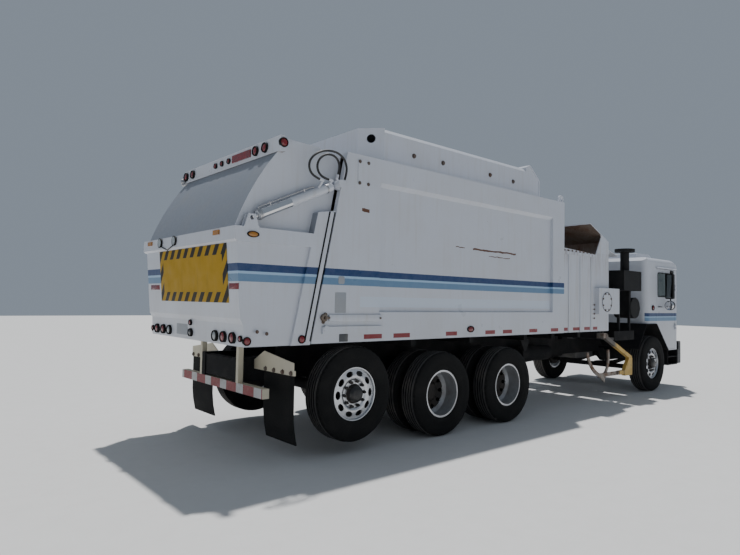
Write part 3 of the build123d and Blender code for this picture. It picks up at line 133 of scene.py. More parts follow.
# %% [markdown]
# Finishes. Real paint on a working truck is never one colour: rain carries dust down it in faint
# streaks, and it is dirtier low down. Each finish below starts from the same recipe. Noise on
# Object coordinates mottles the colour, a stretched copy of it makes streaks, and a fine one
# drives roughness and a slight bump. The numbers that are even all over sit on the shader itself.

# %% Material helpers


class Finish:
    """A material under construction: its node tree, its shader and the colour made so far."""

    def __init__(self, name, colour, rough, metal=0.0):
        self.material = bpy.data.materials.new(name)
        self.material.use_nodes = True
        self.material.diffuse_color = (*colour, 1)
        self.tree = self.material.node_tree
        self.shader = self.tree.nodes["Principled BSDF"]
        self.tune("Roughness", rough)
        self.tune("Metallic", metal)
        self.place = self.node("ShaderNodeTexCoord").outputs["Object"]
        self.colour = self.node("ShaderNodeRGB").outputs[0]
        self.colour.default_value = (*colour, 1)

    def tune(self, name, value):
        self.shader.inputs[name].default_value = value

    def node(self, kind, **values):
        made = self.tree.nodes.new(kind)
        for key, value in values.items():
            setattr(made, key, value)
        return made

    def wire(self, source, target):
        self.tree.links.new(source, target)

    def math(self, operation, *values):
        """A Math node whose inputs are numbers or other nodes' outputs."""
        made = self.node("ShaderNodeMath", operation=operation)
        for slot, value in zip(made.inputs, values):
            if isinstance(value, (int, float)):
                slot.default_value = value
            else:
                self.wire(value, slot)
        return made.outputs[0]

    def times(self, one, other):
        return self.math("MULTIPLY", one, other)

    def noise(self, scale, detail, stretch=(1, 1, 1), rough=0.55):
        """Noise on the piece's own coordinates, in metres."""
        mapping = self.node("ShaderNodeMapping")
        mapping.inputs["Scale"].default_value = stretch
        self.wire(self.place, mapping.inputs["Vector"])
        made = self.node("ShaderNodeTexNoise")
        for name, value in (("Scale", scale), ("Detail", detail), ("Roughness", rough)):
            made.inputs[name].default_value = value
        self.wire(mapping.outputs["Vector"], made.inputs["Vector"])
        return made.outputs["Fac"]

    def ramp(self, value, low, high, start=0.0, end=1.0):
        """Spreads value between low and high onto start to end."""
        made = self.node("ShaderNodeMapRange")
        for name, number in (("From Min", low), ("From Max", high), ("To Min", start), ("To Max", end)):
            made.inputs[name].default_value = number
        self.wire(value, made.inputs["Value"])
        return made.outputs["Result"]

    def over(self, factor, colour):
        """Lays a colour over what is there, by factor."""
        made = self.node("ShaderNodeMix", data_type="RGBA")
        self.wire(factor, made.inputs["Factor"])
        self.wire(self.colour, made.inputs["A"])
        made.inputs["B"].default_value = (*colour, 1)
        self.colour = made.outputs["Result"]

    def stain(self, value, low, high, colour, most=1.0, least=0.0):
        """Lays a colour over what is there where value rises from low to high."""
        self.over(self.ramp(value, low, high, least, most), colour)

    def axes(self):
        split = self.node("ShaderNodeSeparateXYZ")
        self.wire(self.place, split.inputs[0])
        return split.outputs

    def within(self, value, low, high):
        """1 between low and high, else 0."""
        return self.math("COMPARE", value, (low + high) / 2, (high - low) / 2)

    def rough_from(self, value, low, high):
        self.wire(self.ramp(value, 0.3, 0.7, low, high), self.shader.inputs["Roughness"])

    def bump(self, value, depth, distance):
        made = self.node("ShaderNodeBump")
        made.inputs["Strength"].default_value = depth
        made.inputs["Distance"].default_value = distance
        self.wire(value, made.inputs["Height"])
        self.wire(made.outputs["Normal"], self.shader.inputs["Normal"])

    def done(self):
        self.wire(self.colour, self.shader.inputs["Base Color"])
        return self.material

    def surface(self, value, low, high, depth, distance=0.001):
        """Ends a finish: one pattern drives its roughness, between low and high, and its bump."""
        self.rough_from(value, low, high)
        self.bump(value, depth, distance)
        return self.done()


ROAD_DUST = (0.35, 0.32, 0.28)


def plain_finish(name, colour, rough, metal=0.0, dust=ROAD_DUST, amount=0.3, grain=60, depth=0.15,
                 shine=0.5):
    """A finish with mottled dust and a fine grain."""
    finish = Finish(name, colour, rough, metal)
    finish.tune("Specular IOR Level", shine)
    finish.stain(finish.noise(4.0, 5), 0.45, 0.75, dust, amount)
    return finish.surface(finish.noise(grain, 3), max(rough - 0.08, 0.03), min(rough + 0.12, 1), depth)


floor.data.materials.append(plain_finish("studio_floor", (0.70, 0.69, 0.67), 0.8, amount=0.05, grain=8))

# %% [markdown]
# The stripes. A dark and a light band of blue with a pale edge between them run round the body, and
# narrower ones cross the cab. They are paint, so they belong to the paint's material: a Compare node
# gives 1 wherever the height lies inside a band, and that lays the blue over the white. The red tape
# along the body's foot and the rusty scrapes are laid the same way. Truck drawings measure stations
# in millimetres from the drive axle, so a helper turns such a station into a point.

# %% White paint with stripes
DRIVE_AXLE = -2337.5
WHITE = (0.605, 0.63, 0.69)
DUST = (0.46, 0.43, 0.38)
DARK_BLUE, EDGE_BLUE, LIGHT_BLUE = (0.003, 0.036, 0.14), (0.36, 0.54, 0.74), (0.13, 0.245, 0.39)
PALE_BLUE = (0.60, 0.66, 0.75)
TAPE_RED = (0.22, 0.002, 0.006)
RUST = (0.13, 0.055, 0.028)


def at(x, y, z):
    """A point given in millimetres from the rear drive axle, the middle line and the ground."""
    return Vector(((x + DRIVE_AXLE) / 1000, y / 1000, z / 1000))


def station(x):
    """X in metres of a station in millimetres."""
    return at(x, 0, 0).x


def weather(paint, height, streak):
    """Dust in broad clouds, in streaks that run down, and thicker near the road."""
    clouds = paint.noise(1.7, 5)
    paint.stain(clouds, 0.42, 0.75, DUST, 0.18)
    paint.stain(paint.noise(2.2, 6, stretch=(9, 9, 0.55)), 0.52, 0.78, DUST, streak)
    splash = paint.times(paint.ramp(height, 1.7, 0.5), paint.ramp(clouds, 0.2, 0.7, 0.3))
    paint.over(paint.times(splash, 0.3), DUST)
    return clouds


def white_paint(name, bands=(), scrapes=(), drips=None, streak=0.22):
    """White paint. bands holds (low, high, colour, x from, x to); drips run from high to low."""
    paint = Finish(name, WHITE, 0.32)
    x, y, z = paint.axes()
    clouds = weather(paint, z, streak)
    worn = paint.ramp(paint.noise(11.0, 6, rough=0.7), 0.35, 0.75, 0.995, 0.93)
    for low, high, colour, start, end in bands:
        mask = paint.times(paint.within(z, low, high), paint.within(x, start, end))
        paint.over(paint.times(mask, worn), colour)
    if scrapes:
        sway = paint.times(paint.math("SUBTRACT", paint.noise(7.0, 5), 0.5), 0.05)
        wander = paint.math("ADD", z, sway)
        kerb_side = paint.math("LESS_THAN", y, -1.0)
    for height, half, start, end in scrapes:
        torn = paint.within(wander, height - half, height + half)
        mask = paint.times(torn, paint.within(x, station(start), station(end)))
        paint.over(paint.times(mask, kerb_side), RUST)
    if drips:
        low, high = drips
        runs = paint.noise(3.0, 6, stretch=(14, 14, 0.35), rough=0.65)
        fall = paint.times(paint.ramp(z, low, high), paint.within(z, low - 0.3, high + 0.01))
        paint.over(paint.times(paint.ramp(runs, 0.50, 0.66, 0, 0.75), fall), RUST)
    paint.stain(paint.noise(13.0, 6, rough=0.7), 0.70, 0.76, RUST, 0.6)
    paint.rough_from(clouds, 0.26, 0.42)
    paint.tune("Coat Weight", 0.12)
    paint.tune("Coat Roughness", 0.12)
    paint.bump(paint.noise(3.1, 2), 0.12, 0.004)
    return paint.done()


def stripes(levels, start, end):
    """Dark, edge and light blue between these heights, from the top down, and between two X."""
    blues = (DARK_BLUE, EDGE_BLUE, LIGHT_BLUE)
    return [(low, high, blue, start, end) for high, low, blue in zip(levels, levels[1:], blues)]


def tape(lengths):
    """Red tape along the foot of the body, from station to station."""
    return [(1.246, 1.298, TAPE_RED, station(a), station(b)) for a, b in lengths]


BODY_BANDS = stripes((2.010, 1.936, 1.910, 1.836), -6.0, 0.525)
BODY_BANDS.append((1.600, 1.718, PALE_BLUE, -3.70, 0.175))
BODY_TAPE = tape(((-1300, -1030), (-850, -580), (60, 275), (860, 1075), (1255, 1470), (1900, 2110),
                  (2480, 2690)))
HOPPER_TAPE = tape(((2900, 3040), (3200, 3410), (3560, 3750), (3850, 4000)))
SCRAPES = (
    # height and half its width in metres, from station to station, on the kerb side
    (2.392, 0.012, 633, 1615), (2.402, 0.006, 285, 467),
    (2.315, 0.005, 982, 1469), (2.69, 0.02, -1360, -1250),
)
body_white = white_paint("body_white", BODY_BANDS + BODY_TAPE, scrapes=SCRAPES)
hopper_white = white_paint("hopper_white", HOPPER_TAPE, streak=0.55, drips=(2.10, 2.56))
cab_white = white_paint("cab_white", stripes((1.530, 1.462, 1.442, 1.370), 3.66, 6.0), streak=0.12)
plain_white = white_paint("plain_white", streak=0.3)
print("bands", len(BODY_BANDS), "tapes", len(BODY_TAPE) + len(HOPPER_TAPE))

# %% Plain finishes
SOOTY = {"dust": (0.060, 0.055, 0.050), "shine": 0.25}
black_frame = plain_finish("frame_black", (0.008, 0.008, 0.009), 0.78, **SOOTY)
black_rubber = plain_finish("rubber_black", (0.008, 0.008, 0.008), 0.82, amount=0.15, grain=90, **SOOTY)
black_plastic = plain_finish("plastic_black", (0.009, 0.009, 0.010), 0.62, amount=0.15, grain=140,
                             **SOOTY)
bumper_grey = plain_finish("bumper_grey", (0.070, 0.072, 0.076), 0.45, 0.3, amount=0.08, grain=50)
cream_steel = plain_finish("steel_cream", (0.60, 0.55, 0.42), 0.5, amount=0.35)
engine_iron = plain_finish("engine_iron", (0.12, 0.12, 0.12), 0.6, 0.4, amount=0.5, grain=30, depth=0.3)
polished = plain_finish("wheel_aluminium", (0.62, 0.63, 0.65), 0.36, 1.0,
                        amount=0.2, grain=40, depth=0.03)
rod_chrome = plain_finish("rod_chrome", (0.72, 0.72, 0.73), 0.10, 1.0,
                          amount=0.04, grain=20, depth=0.02)
seat_fabric = plain_finish("seat_fabric", (0.035, 0.036, 0.040), 0.85,
                           amount=0.08, grain=300, depth=0.5)
print("plain finishes", len(bpy.data.materials))

# %% Worn steel, yellow paint and white wheels
steel = Finish("worn_steel", (0.30, 0.27, 0.24), 0.45, 0.7)
rust = steel.noise(6.0, 8, rough=0.7)
steel.stain(rust, 0.46, 0.62, (0.17, 0.075, 0.03))
steel.stain(steel.noise(5.0, 3, stretch=(1, 1, 14)), 0.60, 0.72, (0.45, 0.43, 0.40), 0.5)
worn_steel = steel.surface(rust, 0.35, 0.75, 0.3, 0.002)

steel = Finish("bare_rusty_steel", (0.22, 0.185, 0.16), 0.6, 0.3)
rust = steel.noise(3.5, 8, rough=0.7)
steel.stain(rust, 0.44, 0.64, (0.15, 0.080, 0.048), 0.85)
steel.stain(steel.noise(6.0, 4, stretch=(6, 6, 0.5)), 0.55, 0.75, (0.36, 0.33, 0.30), 0.6)
bare_steel = steel.surface(rust, 0.4, 0.85, 0.35, 0.003)

paint = Finish("arm_yellow", (0.62, 0.40, 0.10), 0.45)
# Painted shadow: below X 2.36 m, and fully below 2.26 m, the yellow turns dark brown where the body shades
# the arm.
paint.stain(paint.axes()[0], 2.36, 2.26, (0.11, 0.095, 0.08))
chips = paint.noise(9.0, 7, rough=0.7)
paint.stain(chips, 0.55, 0.66, (0.16, 0.12, 0.09))
arm_yellow = paint.surface(chips, 0.35, 0.7, 0.2)

enamel = Finish("wheel_white", (0.40, 0.415, 0.44), 0.4, 0.3)
grime = enamel.noise(7.0, 6)
enamel.stain(grime, 0.40, 0.70, (0.20, 0.17, 0.14), 0.6, 0.1)
wheel_white = enamel.surface(grime, 0.3, 0.6, 0.15)
print("worn", worn_steel.name, bare_steel.name, arm_yellow.name, wheel_white.name)


# %% Glass, mirrors and lamp lenses
def glass_finish(name, tint, alpha):
    glass = Finish(name, tint, 0.05)
    glass.stain(glass.noise(5.0, 4), 0.45, 0.8, (0.5, 0.5, 0.48), 0.15)
    glass.tune("Alpha", alpha)
    glass.tune("IOR", 1.5)
    return glass.done()


def lens_finish(name, colour):
    """A lens with small prisms behind its face, a little grime and a gloss coat."""
    lens = Finish(name, colour, 0.12)
    prisms = lens.node("ShaderNodeTexVoronoi", feature="SMOOTH_F1")
    prisms.inputs["Scale"].default_value = 90
    lens.wire(lens.place, prisms.inputs["Vector"])
    lens.stain(lens.noise(11, 4), 0.45, 0.75, (0.05, 0.035, 0.03), 0.35)
    lens.bump(prisms.outputs["Distance"], 0.5, 0.003)
    lens.tune("Coat Weight", 0.6)
    lens.tune("Coat Roughness", 0.08)
    return lens.done()


window_glass = glass_finish("window_glass", (0.17, 0.23, 0.22), 0.34)
screen_glass = glass_finish("screen_glass", (0.045, 0.07, 0.07), 0.55)
# Painted reflection: the mirror's silver is darkened to a near-black grey to stand for the dark scene it
# reflects.
mirror = Finish("mirror_painted_dark_reflection", (0.11, 0.125, 0.13), 0.05, 1.0)
mirror.stain(mirror.noise(20, 3), 0.5, 0.8, (0.30, 0.30, 0.30), 0.3)
mirror_painted_dark_reflection = mirror.done()
red_lens = lens_finish("lens_red", (0.20, 0.006, 0.010))
clear_lens = lens_finish("lens_clear", (0.34, 0.37, 0.38))
amber_lens = lens_finish("lens_amber", (0.42, 0.17, 0.012))
dark_lens = lens_finish("lens_dark", (0.03, 0.035, 0.04))
print("materials", len(bpy.data.materials))

# %% [markdown]
# Which node wears which finish. The table keeps that in one place, and a loop hands the
# materials to the nodes' slots. The meshes themselves are never touched.

# %% Hand out the finishes
WEARS = (
    (body_white, "body_shell tailgate_shell"), (hopper_white, "hopper"),
    (cab_white, "cab_shell door_left door_right"), (bumper_grey, "front_bumper"),
    (plain_white, "roof_hood cylinder_barrel_left cylinder_barrel_right"), (screen_glass, "windscreen"),
    (worn_steel, "packer hand finger_front finger_rear reach_beam"), (arm_yellow, "boom"),
    (window_glass, "door_glass_left door_glass_right"), (clear_lens, "head_lamps"),
    (black_plastic, "dashboard air_cleaner mirror_left mirror_right"), (seat_fabric, "cab_seats"),
    (engine_iron, "engine"), (black_frame, "wheel_arches"), (black_rubber, "mud_flaps"),
    (cream_steel, "rear_bumper"), (rod_chrome, "cylinder_rod_left cylinder_rod_right"),
)
NODE_FINISH = {name: finish for finish, names in WEARS for name in names.split()}
for name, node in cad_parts.items():
    finish = NODE_FINISH.get(name, black_frame)
    if name.startswith("tyre_"):
        finish = black_rubber
    elif name.startswith("wheel_") and name not in NODE_FINISH:
        finish = wheel_white if "drive" in name else polished
    if not node.material_slots:
        node.data.materials.append(finish)
    for slot in node.material_slots:
        slot.material = finish
print("dressed", len(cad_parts), "nodes")

# %% [markdown]
# From here on the pieces that the solids leave out are modelled as by hand. A few small helpers keep
# that short. One picks pieces, one insets faces that are chosen in code, by their place and the way
# they face, one spins an outline round an axis, and one settles a finished piece on its body.

# %% Modelling helpers


def pick(*objs):
    """Selects only these, the first of them active."""
    select_none()
    for obj in objs:
        obj.select_set(True)
    bpy.context.view_layer.objects.active = objs[0]


def inset_faces(obj, wanted, thickness, depth, cuts=0):
    """Insets the faces whose centre and normal pass the test, and may cut them up."""
    pick(obj)
    mesh = obj.data
    for part in (mesh.vertices, mesh.edges, mesh.polygons):
        part.foreach_set("select", [False] * len(part))
    mesh.polygons.foreach_set("select", [bool(wanted(f.center, f.normal)) for f in mesh.polygons])
    bpy.context.tool_settings.mesh_select_mode = (False, False, True)
    bpy.ops.object.mode_set(mode="EDIT")
    bpy.ops.mesh.inset(thickness=thickness, depth=depth)
    if cuts:
        bpy.ops.mesh.subdivide(number_cuts=cuts)
    bpy.ops.object.mode_set(mode="OBJECT")


def settle(obj, name, body, material, angle=35, replaced=()):
    """Names a finished piece, puts its place in its mesh and lets it ride on its body."""
    pick(obj)
    bpy.ops.object.transform_apply(location=True, rotation=True, scale=True)
    bpy.ops.object.shade_smooth_by_angle(angle=math.radians(angle))
    obj.name = name
    if not obj.data.materials:
        obj.data.materials.append(material)
    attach(obj, body)
    if replaced:
        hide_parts(*replaced)
    return obj


def joined(parts):
    pick(*parts)
    if len(parts) > 1:
        bpy.ops.object.join()
    return parts[0]


def repeat(master, places):
    """Copies a master piece to each place, each copy with its own mesh, and joins them."""
    made = []
    for place in places:
        copy = new_object(master.name, master.data.copy())
        copy.data.transform(place)
        made.append(copy)
    return joined(made)


def discard(*masters):
    for master in masters:
        bpy.data.objects.remove(master)


def turned(outline, steps):
    """Draws an outline of (y, radius) points, vertex after vertex, and spins it round Y."""
    select_none()
    bpy.ops.mesh.primitive_plane_add(size=0.01)
    obj = bpy.context.object
    bpy.context.tool_settings.mesh_select_mode = (True, False, False)
    bpy.ops.object.mode_set(mode="EDIT")
    bpy.ops.mesh.select_all(action="SELECT")
    bpy.ops.mesh.merge(type="CENTER")
    here = Vector((0, *outline[0]))
    bpy.ops.transform.translate(value=here)
    for y, radius in outline[1:]:
        point = Vector((0, y, radius))
        bpy.ops.mesh.extrude_region_move(TRANSFORM_OT_translate={"value": point - here})
        here = point
    bpy.ops.mesh.select_all(action="SELECT")
    bpy.ops.mesh.spin(steps=steps, angle=math.tau, center=(0, 0, 0), axis=(0, 1, 0))
    bpy.ops.mesh.select_all(action="SELECT")
    bpy.ops.mesh.remove_doubles(threshold=0.00005)
    bpy.ops.mesh.normals_make_consistent(inside=False)
    bpy.ops.object.mode_set(mode="OBJECT")
    return obj


def block(size, location=(0, 0, 0)):
    """A box of this size in metres."""
    select_none()
    bpy.ops.mesh.primitive_cube_add(size=1, location=location)
    box = bpy.context.object
    box.scale = size
    bpy.ops.object.transform_apply(location=True, rotation=False, scale=True)
    return box


def bevel_all(offset, segments):
    """Rounds every edge of the active piece."""
    bpy.ops.object.mode_set(mode="EDIT")
    bpy.ops.mesh.select_all(action="SELECT")
    bpy.ops.mesh.bevel(offset=offset, segments=segments)
    bpy.ops.object.mode_set(mode="OBJECT")


def facing(direction):
    """Turns a piece whose front looks along -Y so that it looks along direction."""
    return Vector((0, -1, 0)).rotation_difference(Vector(direction)).to_matrix().to_4x4()


def facing_at(x, y, z, direction):
    """Puts a piece at a point in millimetres and turns its front along direction."""
    return Matrix.Translation(at(x, y, z)) @ facing(direction)


def side_turn(side):
    """Turns a piece made for the left side round for the right one."""
    return Matrix.Rotation(0 if side > 0 else math.pi, 4, "Z")


def grown(*scale):
    return Matrix.Diagonal((*scale, 1))


print("helpers ready")

# %% [markdown]
# Tyres. The photo shows five ribs on every tyre, with four grooves round it and cuts along the
# shoulders. A tyre is a turned shape: one wall of its section is listed and mirrored, the grooves go
# in between, and the outline is spun. The shoulder cuts are faces picked by their angle round the
# wheel and pushed in. A dual pair is the same tyre twice.

# %% Tyres
TYRE_STEPS = 80
GROOVES = (-0.060, -0.021, 0.021, 0.060)
GROOVE_DEPTH = 0.014
DUAL_PITCH = 340
AXLES = {
    # station, distance out to the wheel's middle, height, dual
    "front": (6190, 1065, 540, False), "drive1": (1370, 1125, 525, True),
    "drive2": (0, 1125, 525, True), "tag": (-1390, 1088, 645, False),
}
tread_dust = plain_finish("tread_dust", (0.055, 0.053, 0.052), 0.9,
                          dust=(0.15, 0.135, 0.12), amount=0.6, grain=70, depth=0.4)


def tyre_outline(radius, width):
    half = width / 2
    bottom = radius - GROOVE_DEPTH
    outline = [(-0.09, 0.288), (-half + 0.025, 0.298), (-half + 0.012, 0.325), (-half + 0.004, 0.36),
               (-half + 0.006, 0.366), (-half, radius * 0.77), (-half + 0.006, radius * 0.87),
               (-half + 0.022, radius - 0.019), (-half + 0.045, radius - 0.004)]
    tread = []
    for y in GROOVES:
        tread += [(y - 0.008, radius), (y - 0.005, bottom), (y + 0.005, bottom), (y + 0.008, radius)]
    outline += tread + [(-y, r) for y, r in reversed(outline)]
    return outline + [outline[0]]


def tyre_piece(radius, width):
    tyre = turned(tyre_outline(radius, width), TYRE_STEPS)
    half = width / 2
    turn_step = math.tau / TYRE_STEPS

    def shoulder(centre, normal):
        reach = math.hypot(centre.x, centre.z)
        step = math.floor(math.atan2(centre.z, centre.x) / turn_step)
        return step % 2 == 0 and reach > radius - 0.03 and abs(centre.y) > half - 0.055

    inset_faces(tyre, shoulder, 0.003, -0.006)
    tyre.data.materials.append(black_rubber)
    tyre.data.materials.append(tread_dust)
    for face in tyre.data.polygons:
        reach = math.hypot(face.center.x, face.center.z)
        face.material_index = reach > radius - 0.006 and abs(face.center.y) < half - 0.03
    return tyre


def wheel_end(axle, side, further):
    """Puts a piece further out than the wheel's middle by some millimetres, turned outward."""
    x, out, z, _ = AXLES[axle]
    return Matrix.Translation(at(x, side * (out + further), z)) @ side_turn(side)


def wheel_places(axle, side):
    """Where each wheel of this axle end stands; a dual has its inner one a pitch further in."""
    dual = AXLES[axle][3]
    return [wheel_end(axle, side, -inward) for inward in ((0, DUAL_PITCH) if dual else (0,))]


def fit_wheels(master, name, axles, places, material, angle, node=None):
    """Copies a master to both ends of each axle, where the copies ride with the wheels."""
    for axle in axles:
        for side, hand in SIDES:
            replaced = [f"{node}_{axle}_{hand}"] if node else ()
            piece = repeat(master, places(axle, side))
            settle(piece, f"{name}_{axle}_{hand}", f"wheels_{axle}_{hand}", material, angle, replaced)
    print(name, "on", *axles, len(piece.data.polygons), "faces")
    discard(master)


for radius, width, axles in ((0.540, 0.300, ["front"]), (0.525, 0.280, ["drive1", "drive2", "tag"])):
    fit_wheels(tyre_piece(radius, width), "tread", axles, wheel_places, black_rubber, 40, "tyre")

# %% [markdown]
# Single wheels. The front and tag wheels are bright aluminium with ten large oval hand holes. Rim,
# disc, hub and brake drum are turned from their sections. An oval cutter is copied round the wheel
# and a Boolean takes the cutters from the disc, so the holes go right through.

# %% Single wheels
HOLES_AT, HOLE_ACROSS, HOLE_ROUND = 0.226, 0.030, 0.047
PER_WHEEL = 10
hub_dark = plain_finish("hub_dark", (0.030, 0.027, 0.025), 0.7, 0.2,
                        dust=(0.12, 0.09, 0.07), amount=0.45)
RIM_SECTION = [
    (-0.105, 0.270), (-0.107, 0.292), (-0.102, 0.297), (-0.097, 0.296), (-0.097, 0.285), (0.097, 0.285),
    (0.097, 0.296), (0.102, 0.297), (0.107, 0.292), (0.105, 0.282), (0.092, 0.274), (0.070, 0.270),
    (-0.105, 0.270)]
DISC_SECTION = [
    (0.062, 0.2755), (0.084, 0.2755), (0.087, 0.262), (0.091, 0.240), (0.097, 0.212), (0.100, 0.192),
    (0.097, 0.174), (0.089, 0.158), (0.084, 0.150), (0.084, 0.060), (0.068, 0.060), (0.068, 0.150),
    (0.075, 0.160), (0.082, 0.175), (0.084, 0.190), (0.080, 0.212), (0.074, 0.235), (0.066, 0.262),
    (0.062, 0.2755)]


def hub_section(inward):
    return [(-inward, 0.046), (-inward, 0.120), (0.068, 0.122), (0.086, 0.108), (0.100, 0.092),
            (0.138, 0.080), (0.150, 0.062), (0.150, 0.001), (0.124, 0.001), (0.124, 0.046),
            (-inward, 0.046)]


def drum_section(inward):
    back = -inward + 0.170
    return [(-inward, 0.113), (-inward, 0.208), (-inward + 0.020, 0.208), (-inward + 0.022, 0.203),
            (back - 0.014, 0.203), (back - 0.012, 0.208), (back, 0.208), (back, 0.113),
            (-inward, 0.113)]


def round_the_hub(shift, reach):
    """Places on a circle round the wheel's axis, shifted by a share of their spacing."""
    return [Matrix.Rotation(math.tau * (n + shift) / PER_WHEEL, 4, "Y") @ Matrix.Translation(reach)
            for n in range(PER_WHEEL)]


def single_wheel(inward):
    select_none()
    bpy.ops.mesh.primitive_cylinder_add(vertices=32, radius=1, depth=0.12, rotation=(math.pi / 2, 0, 0))
    cutter = bpy.context.object
    bpy.ops.object.transform_apply(location=False, rotation=True, scale=False)
    cutter.data.transform(grown(HOLE_ROUND, 1, HOLE_ACROSS))
    cutters = repeat(cutter, round_the_hub(0.5, (0, 0.083, HOLES_AT)))
    sections = ((RIM_SECTION, 72, polished), (DISC_SECTION, 72, polished),
                (hub_section(inward), 40, hub_dark), (drum_section(inward), 56, hub_dark))
    parts = []
    for section, steps, finish in sections:
        part = turned(section, steps)
        part.data.materials.append(finish)
        parts.append(part)
    disc = parts[1]
    cut = disc.modifiers.new("hand_holes", "BOOLEAN")
    cut.operation = "DIFFERENCE"
    cut.object = cutters
    pick(disc)
    bpy.ops.object.modifier_apply(modifier="hand_holes")
    discard(cutter, cutters)
    return joined(parts)


for axle, inward in (("front", 0.100), ("tag", 0.150)):
    fit_wheels(single_wheel(inward), "bright_wheel", [axle], wheel_places, polished, 32, "wheel")

# %% [markdown]
# Wheel nuts. Ten nuts hold each wheel, on a circle round the hub, each with its stud's end standing
# out. One nut is a six-sided turned shape. It is copied round the hub and joined per wheel. A small
# cap with a rolled edge covers the hub of the single wheels.

# %% Nuts and hub caps
SINGLE_FACE, DUAL_FACE = 84, -156
iron = plain_finish("nut_iron", (0.045, 0.042, 0.040), 0.5, 0.7, amount=0.35, grain=50)
cap_plastic = plain_finish("cap_black", (0.012, 0.012, 0.013), 0.35, amount=0.2)


def nut_places(axle, side):
    face, circle = (DUAL_FACE, 0.132) if AXLES[axle][3] else (SINGLE_FACE, 0.1385)
    return [wheel_end(axle, side, face) @ spot for spot in round_the_hub(0.1, (circle, 0, 0))]


def cap_place(axle, side):
    return [wheel_end(axle, side, SINGLE_FACE)]


nut = turned([(0.046, 0), (0.046, 0.009), (0.031, 0.011), (0.030, 0.015), (0.026, 0.0185),
              (-0.004, 0.0185)], 6)
fit_wheels(nut, "nuts", list(AXLES), nut_places, iron, 30)
cap = turned([(0.071, 0), (0.071, 0.055), (0.066, 0.068), (0.052, 0.084), (0.047, 0.092),
              (0.040, 0.094)], 32)
fit_wheels(cap, "hub_cap", ["front", "tag"], cap_place, cap_plastic, 30)

# %% [markdown]
# The warning panel on the tailgate. It is a thin sheet screwed to the sloping rear face, yellow with
# black diagonals round its border, and blank inside. A cube is stretched to the sheet's size and a
# narrow rim is inset. The stripes are worked out from the height and the distance across: inside the
# border zone a repeating ramp of the two gives the diagonals.

# %% Warning panel
SIGN_Y = (-0.985, 0.755)
SIGN_Z = (1.628, 2.211)
BORDER = 0.105
REAR_SLOPE = 58 / 735
REAR_TILT = math.atan(REAR_SLOPE)


def tailgate_face(z):
    """X of the tailgate's rear face above its bevel, at a height, both in metres."""
    return station(-2810 - (z * 1000 - 1480) * REAR_SLOPE)


def middle_half(ends):
    """Middle and half length of a range."""
    return sum(ends) / 2, (ends[1] - ends[0]) / 2


across, half_across = middle_half(SIGN_Y)
middle_z, half_up = middle_half(SIGN_Z)
sign = Finish("hazard_yellow", (0.43, 0.25, 0.001), 0.5)
x, y, z = sign.axes()
slant = sign.times(sign.math("ADD", y, sign.times(z, 0.8)), 5.4)
stripe = sign.math("LESS_THAN", sign.math("FRACT", slant), 0.5)
inner = sign.times(sign.math("COMPARE", y, across, half_across - BORDER),
                   sign.math("COMPARE", z, middle_z, half_up - BORDER))
sign.over(sign.times(stripe, sign.math("SUBTRACT", 1.0, inner)), (0.012, 0.011, 0.010))
fade = sign.noise(5.0, 6)
sign.stain(fade, 0.45, 0.75, (0.22, 0.15, 0.02), 0.18)
sign.stain(sign.noise(3.0, 5, stretch=(1, 10, 0.6)), 0.55, 0.8, (0.15, 0.105, 0.02), 0.28)
sign.tune("Specular IOR Level", 0.2)
hazard_yellow = sign.surface(fade, 0.35, 0.6, 0.2, 0.002)

panel = block((0.003, 2 * half_across, 2 * half_up / math.cos(REAR_TILT)))
inset_faces(panel, lambda centre, normal: normal.x < -0.9, 0.006, 0.0006, cuts=5)
tilt = Matrix.Rotation(-REAR_TILT, 4, "Y")
panel.data.transform(Matrix.Translation((tailgate_face(middle_z) - 0.0032, across, middle_z)) @ tilt)
settle(panel, "warning_panel", "tailgate", hazard_yellow, 30)
print("warning panel", [round(v, 3) for v in panel.dimensions])

# %% [markdown]
# Lamps. The solids of the tail lamps are plain discs and plates in one node. Each face of that node
# takes the red or clear finish of the lamp nearest to it, and the two small lamps on the ledge are
# amber. Around each disc goes a rubber grommet, a turned ring, and each lens gets a shallow dome.

# %% Tail lamps
BAR_FACE, LEDGE_FACE = -2412, -2900


def foot_face(z):
    """Station in millimetres of the tailgate's leaning foot, at a height in millimetres."""
    return -2765 - 12 * (z - 1208) / 217


# y, z, radius, lens and the station of the face behind it
TAIL_LAMPS = [(y, 3247, r, red_lens, BAR_FACE) for y, r in
              ((1115, 45), (914, 45), (260, 28), (94, 28), (-77, 28), (-698, 45), (-893, 45))]
for side, _ in SIDES:
    TAIL_LAMPS += [(side * y, 1288, r, lens, foot_face(1288 + r)) for y, r, lens in
                   ((609, 48, clear_lens), (795, 48, red_lens), (990, 48, red_lens), (1147, 26, red_lens))]
TAIL_LAMPS += [(0, 1398, 27, red_lens, foot_face(1420)), (0, 1288, 38, dark_lens, foot_face(1326)),
               (645, 2308, 48, clear_lens, LEDGE_FACE), (222, 2308, 48, clear_lens, LEDGE_FACE)]

# where the two amber lamps sit on the ledge
AMBER_Z, AMBER_Y = (2290, 2345), ((920, 1055), (-900, -765))
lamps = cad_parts["tail_lamps"]
lamps.data.materials.clear()
for finish in (red_lens, clear_lens, amber_lens):
    lamps.data.materials.append(finish)
for face in lamps.data.polygons:
    y, z = face.center.y * 1000, face.center.z * 1000
    near = min(TAIL_LAMPS, key=lambda lamp: math.hypot(lamp[0] - y, lamp[1] - z) - lamp[2])
    face.material_index = 1 if near[3] is clear_lens else 0
    if AMBER_Z[0] < z < AMBER_Z[1] and any(low < y < high for low, high in AMBER_Y):
        face.material_index = 2

